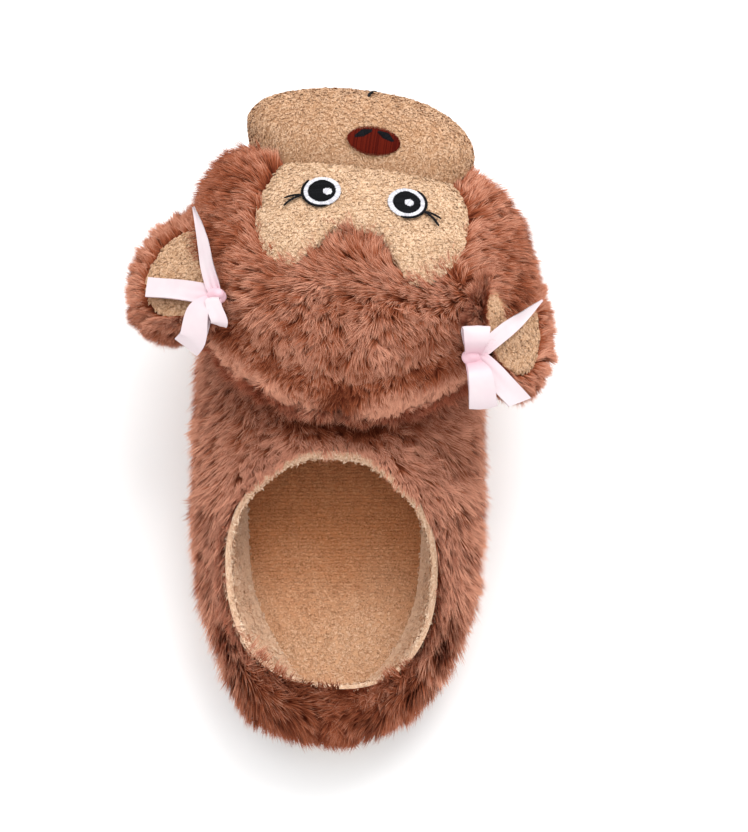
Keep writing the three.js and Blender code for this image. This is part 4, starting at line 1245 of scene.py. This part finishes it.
def make_grip_dots():
    """Small round studs under the sole, in staggered rows."""
    spots = []
    for k, y in enumerate(np.arange(HEEL_Y + 8, -HEEL_Y - 6, STUD_PITCH * 0.866)):
        for x in np.arange(-60, 60, STUD_PITCH) + (STUD_PITCH / 2 if k % 2 else 0):
            if share_out(np.array(x), np.array(y), -9.0) < 1:
                spots.append((x, y))
    spots = np.array(spots)
    turn = np.linspace(0, 2 * math.pi, STUD_SIDES, endpoint=False)
    one = [[r * math.cos(t), r * math.sin(t), z] for r, z in STUD_RINGS for t in turn]
    one = np.array(one + [[0, 0, 0]])
    at = one + np.concatenate([spots, spring(spots[:, 1])[:, None]], 1)[:, None]
    i = np.arange(STUD_SIDES)
    j = (i + 1) % STUD_SIDES
    rings = [np.stack([i, j, STUD_SIDES + j, STUD_SIDES + i], -1) + r * STUD_SIDES for r in (0, 1)]
    middle = np.full(STUD_SIDES, 3 * STUD_SIDES)
    caps = np.stack([2 * STUD_SIDES + i, 2 * STUD_SIDES + j, middle], -1)
    k = np.arange(len(spots))[:, None, None] * len(one)
    faces = [(f + k).reshape(-1, f.shape[1])[:, ::-1] for f in (np.concatenate(rings), caps)]
    part = {"at": at.reshape(-1, 3), "faces": faces}
    mesh_piece("grip_dots", [part], sole_cloth)


# ---------------------------------------------------------------- embroidery

# Paths in mm. A lash is its bend and its tip, from its root and away from the nose.
LASHES = [((3.6, 0.3), (6.9, -1.7)), ((4.2, -1.6), (6.6, -5.6))]
NOSTRIL = [(7.4, 0.8), (4.5, 2.6), (1.4, 3.9)]
MOUTH_SEAM = [(-5.6, -15.7), (-5.0, -8), (-4.0, 0), (-2.5, 14)]
SMILE = [(-15, 8), (-9.5, 12.5), (-2.5, 14.5), (4.5, 13.5), (10, 9.5)]


def threads(lines, normals, width, high, tones, rounds=5):
    """Half-round threads along many short lines: arrays of lines x points x 3."""
    along = unit(np.gradient(lines, axis=1))
    across = unit(np.cross(along, normals))
    count, length = lines.shape[:2]
    from_end = np.minimum(np.arange(length), np.arange(length)[::-1])
    taper = (0.45 + 0.55 * np.clip(from_end, 0, 1))[None, :, None]
    rings, shade = [], []
    for a in np.linspace(0, math.pi, rounds):
        side = across * (math.cos(a) * width / 2) * taper
        rings.append(lines + side + normals * (math.sin(a) * high - 0.15) * taper)
        shade.append(unit(across * math.cos(a) + normals * math.sin(a)))
    one = grid_faces(length, rounds)
    faces = (one[None] + np.arange(count)[:, None, None] * (length * rounds)).reshape(-1, 4)
    return {
        "at": np.stack(rings, 2).reshape(-1, 3),
        "faces": [faces],
        "normals": np.stack(shade, 2).reshape(-1, 3),
        "values": {"tone": np.repeat(tones, length * rounds)},
    }


def sewn(segments, place, high, width, rng, count=7, lift=0.0):
    """Threads between pairs of flat points, laid on a surface in "count" points each."""
    segments = np.asarray(segments, float)
    t = np.linspace(0, 1, count)[None, :, None]
    flat = mix(segments[:, None, 0], segments[:, None, 1], t)
    x, y = flat[..., 0], flat[..., 1]
    p = place(x, y, lift)
    step = 0.3
    n = unit(np.cross(place(x + step, y, lift) - p, place(x, y + step, lift) - p))
    bow = 0.18 * np.sin(np.linspace(0, math.pi, count))[None, :, None]
    return threads(p + n * bow, n, width, high, rng.random(len(segments)))


def satin_disc(cx, cy, rx, ry, pitch, rng, angle=0.0):
    """Segments of satin stitch that fill an oval, side by side."""
    made = []
    for v in np.arange(-ry + pitch / 2, ry, pitch):
        reach = rx * math.sqrt(max(0.0, 1 - (v / ry) ** 2))
        wobble = rng.normal(0, 0.12, 2)
        a, b = -reach + wobble[0], reach + wobble[1]
        if b - a >= 0.5:
            made.append(((a, v), (b, v)))
    c, s = math.cos(angle), math.sin(angle)
    return np.array(made) @ np.array([[c, s], [-s, c]]) + [cx, cy]


def stroke(path, width, pitch):
    """Short slanted stitches side by side along a path, as a machine sews a bold line."""
    path = np.array(path, float)
    gaps = np.linalg.norm(np.diff(path, axis=0), axis=1)
    along = np.concatenate([[0], np.cumsum(gaps)])
    at = np.arange(0, along[-1], pitch)
    mid = np.stack([np.interp(at, along, path[:, k]) for k in (0, 1)], -1)
    way = unit(np.gradient(mid, axis=0))
    side = np.stack([-way[:, 1], way[:, 0]], -1)
    taper = 0.35 + 0.65 * np.clip(np.minimum(at, along[-1] - at) / width, 0, 1)[:, None]
    half, lean = side * width / 2 * taper, way * pitch * 1.2
    return np.stack([mid - half - lean, mid + half + lean], 1)


def make_eye(name):
    side = {"left": -1, "right": 1}[name]
    middle = np.array([FACE_ACROSS + side * EYE_SPACING / 2, EYE_FORWARD])
    cx, cy = middle
    rng = np.random.default_rng(50 + side)
    outer, inner = EYE_DIAMETER / 2, 5.6
    ring = []
    for a in np.linspace(0, 2 * math.pi, 118, endpoint=False):
        r0, r1 = inner - 0.5 + rng.normal(0, 0.08), outer + rng.normal(0, 0.08)
        c, s = math.cos(a), math.sin(a)
        ring.append(((cx + r0 * c, cy + r0 * s), (cx + r1 * c, cy + r1 * s)))
    glint = (cx + 2.3 if side < 0 else cx + 1.0, cy - 0.4)
    white = [sewn(ring, on_head, 0.45, 0.5, rng, lift=2.2)]
    glint = satin_disc(*glint, 1.75, 1.75, 0.36, rng, 1.2)
    white.append(sewn(glint, on_head, 0.4, 0.46, rng, lift=3.0))
    pupil = satin_disc(cx, cy, inner, inner, 0.4, rng, 0.15)
    black = [sewn(pupil, on_head, 0.4, 0.5, rng, 11, 2.5)]
    arc = np.radians(np.linspace(140, 292, 40) if side < 0 else np.linspace(62, -98, 40))
    rim = outer + 0.15
    outline = [(cx + rim * math.cos(a), cy + rim * math.sin(a)) for a in arc]
    strokes = [stroke(outline, 1.15, 0.26)]
    for bend, tip in LASHES:
        start = middle + [side * 7.2, -2.9]
        mid, end = start + np.multiply(bend, (side, 1)), start + np.multiply(tip, (side, 1))
        t = np.linspace(0, 1, 14)[:, None]
        path = (1 - t) ** 2 * start + 2 * t * (1 - t) * mid + t**2 * end
        strokes.append(stroke(path, 1.05, 0.24))
    black.append(sewn(np.concatenate(strokes), on_head, 0.35, 0.4, rng, 4, 2.5))
    mesh_piece(f"eye_{name}_white", white, white_thread, [f"eye_{name}"])
    mesh_piece(f"eye_{name}_black", black, black_thread)


def make_nose():
    rng = np.random.default_rng(60)
    fill = satin_disc(0, 0, NOSE_HEIGHT / 2, NOSE_WIDTH / 2, 0.42, rng, math.pi / 2)
    red = [sewn(fill, on_nose, 0.5, 0.52, rng, 9, 0.5)]
    mesh_piece("nose_red", red, red_thread, ["nose"])
    strokes = [stroke([(side * x, y) for x, y in NOSTRIL], 3.3, 0.28) for side in (-1, 1)]
    black = [sewn(np.concatenate(strokes), on_nose, 0.4, 0.42, rng, 4, 0.9)]
    mesh_piece("nostrils", black, black_thread)


# ---------------------------------------------------------------- ribbon bows

# Shares of the ribbon's width from knot to end, for a tail seen flat and one seen edge on.
WHOLE_TAIL = (0.45, 1, 1, 1, 1, 1)
TURNED_TAIL = (0.4, 0.66, 0.66, 0.56, 0.36, 0.08)
TAIL_SLANT = {"left": -1.7, "right": 1.7}


def plush_top(x, y, name):
    """Height of the plush in the head's frame: of the head, or of the ear where that is higher."""
    heights = np.arange(HEAD_RISE, -HEAD_DROP, -0.25)
    column = np.stack([np.full(len(heights), x), np.full(len(heights), y), heights], -1)
    top = -HEAD_DROP
    for depth, at in ((head_depth, head_frame), (ear_depth, ear_frame(name))):
        q = into(at, through(head_frame, column))
        hit = np.flatnonzero(depth(q, 0.0 if depth is head_depth else 1.8) < 1)
        if len(hit):
            top = max(top, heights[hit[0]])
    return top


def over_plush(x, y, name, lift, lowest):
    step = 3.0

    def top(a, b):
        return max(plush_top(a, b, name), lowest)

    slope_x = (top(x + step, y) - top(x - step, y)) / (2 * step)
    slope_y = (top(x, y + step) - top(x, y - step)) / (2 * step)
    slope = np.clip([slope_x, slope_y], -MAX_SLOPE, MAX_SLOPE)
    n = unit(np.array([-slope[0], -slope[1], 1.0]))
    return np.array([x, y, top(x, y)]) + n * lift, n


def curve_through(places, count):
    """Centripetal Catmull-Rom curve, in "count" points."""
    p = np.array(places, float)
    p = np.concatenate([[2 * p[0] - p[1]], p, [2 * p[-1] - p[-2]]])
    gap = np.maximum(np.linalg.norm(np.diff(p, axis=0), axis=1) ** 0.5, 1e-4)
    knots = np.concatenate([[0], np.cumsum(gap)])
    made = []
    spans = len(p) - 3
    for s in np.linspace(0, spans, count):
        i = min(int(s), spans - 1)
        t = mix(knots[i + 1], knots[i + 2], s - i)
        k, q = knots[i : i + 4], p[i : i + 4]

        def between(a, b, ta, tb):
            return ((tb - t) * a + (t - ta) * b) / (tb - ta)

        a1, a2, a3 = (between(q[j], q[j + 1], k[j], k[j + 1]) for j in range(3))
        b1, b2 = between(a1, a2, k[0], k[2]), between(a2, a3, k[1], k[3])
        made.append(between(b1, b2, k[1], k[2]))
    return np.array(made)


def ribbon(rows, rng, slant=0.0, pleat=0.9, count=46, columns=15):
    """A satin strip along rows of (place, across, width share), gathered at its first row."""
    at = curve_through([r[0] for r in rows], count)
    s, row = np.linspace(0, len(rows) - 1, count), range(len(rows))
    wide = np.interp(s, row, [r[2] for r in rows]) * RIBBON_WIDTH
    across = np.stack([np.interp(s, row, [r[1][k] for r in rows]) for k in range(3)], -1)
    along = unit(np.gradient(at, axis=0))
    across = unit(across - along * dot(across, along))
    up = np.cross(across, along)
    run = np.concatenate([[0], np.cumsum(np.linalg.norm(np.diff(at, axis=0), axis=1))])
    c = np.linspace(-1, 1, columns)
    near = np.exp(-run / 6.0)[:, None]
    phase = rng.uniform(0, 2 * math.pi)
    fold = pleat * near * np.cos(2.3 * math.pi * c[None, :] + phase)
    sway = 0.45 * np.sin(run / 5.5 + phase)[:, None] * c[None, :] ** 2
    curl = -0.35 * c[None, :] ** 2 * (1 - near)
    height = fold + sway + curl
    last = smooth(run[-1] - 7, run[-1], run)[:, None]
    p = (
        at[:, None]
        + across[:, None] * (c[None, :, None] * wide[:, None, None] / 2)
        + up[:, None] * height[..., None]
        + along[:, None] * (slant * last * c[None, :])[..., None]
    )
    n = unit(np.cross(np.gradient(p, axis=0), np.gradient(p, axis=1)))
    n = np.where(dot(n, up[:, None]) < 0, -n, n)
    top, low = p + n * 0.2, p - n * 0.2
    hem = []
    # Painted fold shade near the knot, fading along the ribbon.
    blush = bell(run, 8.0) + bell(run[-1] - run, 8.0) * (rows[-1][2] == 0.5)
    blush = np.repeat(blush, columns)
    for q in (top, low):
        hem.append(skin(q, n if q is top else -n, values={"blush": blush}))
    rim = [np.stack([top[i], low[i]], 1) for i in (0, -1)]
    rim += [np.stack([top[:, j], low[:, j]], 1) for j in (0, -1)]
    for r in rim:
        out = unit(r[:, 0] - p.reshape(-1, 3).mean(0))
        hem.append(skin(r, np.repeat(out[:, None], 2, 1)))
    return hem


def make_bow(name):
    bow = BOWS[name]
    rng = np.random.default_rng({"left": 71, "right": 72}[name])
    knot_x, knot_y = bow["knot"][0] * HEAD_WIDTH / 2, bow["knot"][1] * HEAD_LENGTH / 2
    knot_top = plush_top(knot_x, knot_y, name)
    sunk = KNOT_SIZE / 2 - KNOT_SINK
    knot = over_plush(knot_x, knot_y, name, sunk, knot_top - KNOT_SIZE)[0]

    def row_at(bearing, reach, out, lift, wide):
        line = np.array([math.sin(math.radians(bearing)), math.cos(math.radians(bearing)), 0])
        x, y = knot_x + line[0] * reach * out, knot_y + line[1] * reach * out
        lowest = knot_top - reach * out * RIBBON_SAG
        at, n = over_plush(x, y, name, RIBBON_LIFT + lift, lowest)
        near = max(0.0, 1 - out / KNOT_BLEND)
        return mix(at, knot, near), unit(np.cross(n, line)), wide

    parts = []
    for bearing, reach, wide, rise in bow["tails"]:
        widths = WHOLE_TAIL if wide == 1 else TURNED_TAIL
        rows = [
            row_at(bearing, reach * TAIL_REACH, 0.2 * k, rise * TAIL_RISE * 0.2 * k, share)
            for k, share in enumerate(widths)
        ]
        parts += ribbon(rows, rng, TAIL_SLANT[name] if wide == 1 else 0.0, 0.75)
    for bearing, reach, height in bow["loops"]:
        narrow = 1 if height == 1 else 0.62
        rows = [
            row_at(bearing, reach * LOOP_REACH, out, up * height * LOOP_HEIGHT, wide * narrow)
            for out, up, wide in LOOP_ROWS
        ]
        parts += ribbon(rows, rng, 0.0, 0.6)

    def knot_shape(turn, level):
        flat = np.cos(level)
        pleats = 1 + 0.07 * np.cos(5 * level + 1.2 * np.sin(turn)) * flat
        x, y, z = np.sin(turn) * flat, np.cos(turn) * flat, np.sin(level)
        size = 0.88 * KNOT_SIZE / 2 * pleats
        return knot + points(x * size * 0.92, y * size * 0.8, z * size * 0.85)

    ball = grid(knot_shape, steps(0, 2 * math.pi, 33), steps(-math.pi / 2, math.pi / 2, 25))
    # The knot takes the painted fold shade all over.
    parts.append(skin(ball, grid_normals(ball, lambda q: q - knot), values={"blush": 1.0}))
    for part in parts:
        part["at"] = through(head_frame, part["at"])
        part["normals"] = part["normals"] @ head_frame[:3, :3].T
    mesh_piece(f"bow_{name}_satin", parts, satin, [f"bow_{name}"])


def make_mouth():
    """The seam line that runs over the muzzle's top, and a small smile below it on the front."""
    across = Matrix.Translation((FACE_ACROSS - MUZZLE_ACROSS, 0, 0))
    front = placed(Matrix(muzzle_frame), across)

    def on_front(x, y, grow):
        return drop(front, x, y, muzzle_depth, muzzle_frame, grow, DROP_FROM)

    rng = np.random.default_rng(62)
    strokes = [stroke(MOUTH_SEAM, 1.4, 0.3), stroke(SMILE, 1.1, 0.3)]
    black = [sewn(np.concatenate(strokes), on_front, 0.4, 0.42, rng, 4, -0.5)]
    mesh_piece("mouth_line", black, black_thread)


make_upper()
make_head()
make_muzzle()
make_face_patch()
make_ear("left", 17)
make_ear("right", 18)
make_lining()
make_insole()
make_outsole()
make_grip_dots()
make_eye("left")
make_eye("right")
make_nose()
make_mouth()
make_bow("left")
make_bow("right")

# ---------------------------------------------------------------- floor, lights and camera

CAMERA_TARGET = Vector((0.0138, 0.002, 0.030))
CAMERA_DISTANCE, CAMERA_RISE, CAMERA_LENS = 1.2, math.radians(69), 127.7


def make_floor():
    mesh = bpy.data.meshes.new("floor")
    mesh.from_pydata([(-6, -6, 0), (6, -6, 0), (6, 6, 0), (-6, 6, 0)], [], [(0, 1, 2, 3)])
    floor = bpy.data.objects.new("floor", mesh)
    bpy.context.scene.collection.objects.link(floor)
    material, tree, surface = shader(
        "light_table", Roughness=0.95, Specular_IOR_Level=0.1, Emission_Color=(1, 1, 1, 1),
        Emission_Strength=0.06,
    )
    colour = ramp(tree, [(0.3, (0.91, 0.91, 0.91)), (0.7, (0.93, 0.93, 0.93))], noise(tree, 40))
    tree.links.new(colour, surface.inputs["Base Color"])
    mesh.materials.append(material)


def area_light(name, place, aim, size, power):
    light = bpy.data.lights.new(name, "AREA")
    light.shape = "DISK"
    light.size = size
    light.energy = power
    lamp = bpy.data.objects.new(name, light)
    lamp.location = place
    lamp.rotation_euler = (Vector(aim) - Vector(place)).to_track_quat("-Z", "Y").to_euler()
    bpy.context.scene.collection.objects.link(lamp)


def make_lights():
    world = bpy.data.worlds.new("studio")
    world.use_nodes = True
    background = world.node_tree.nodes["Background"]
    background.inputs["Color"].default_value = (1, 1, 1, 1)
    background.inputs["Strength"].default_value = 1.25
    bpy.context.scene.world = world
    area_light("key", (0.4, 0.8, 1.25), (0, 0, 0.03), 1.2, 12)


def make_camera():
    data = bpy.data.cameras.new("camera")
    data.sensor_width = 36
    data.lens = CAMERA_LENS
    data.clip_start = 0.05
    camera = bpy.data.objects.new("camera", data)
    back = Vector((0, -math.cos(CAMERA_RISE), math.sin(CAMERA_RISE)))
    camera.location = CAMERA_TARGET + back * CAMERA_DISTANCE
    camera.rotation_euler = (CAMERA_TARGET - camera.location).to_track_quat("-Z", "Y").to_euler()
    bpy.context.scene.collection.objects.link(camera)
    bpy.context.scene.camera = camera


make_floor()
make_lights()
make_camera()
bpy.context.scene.view_settings.view_transform = "Standard"
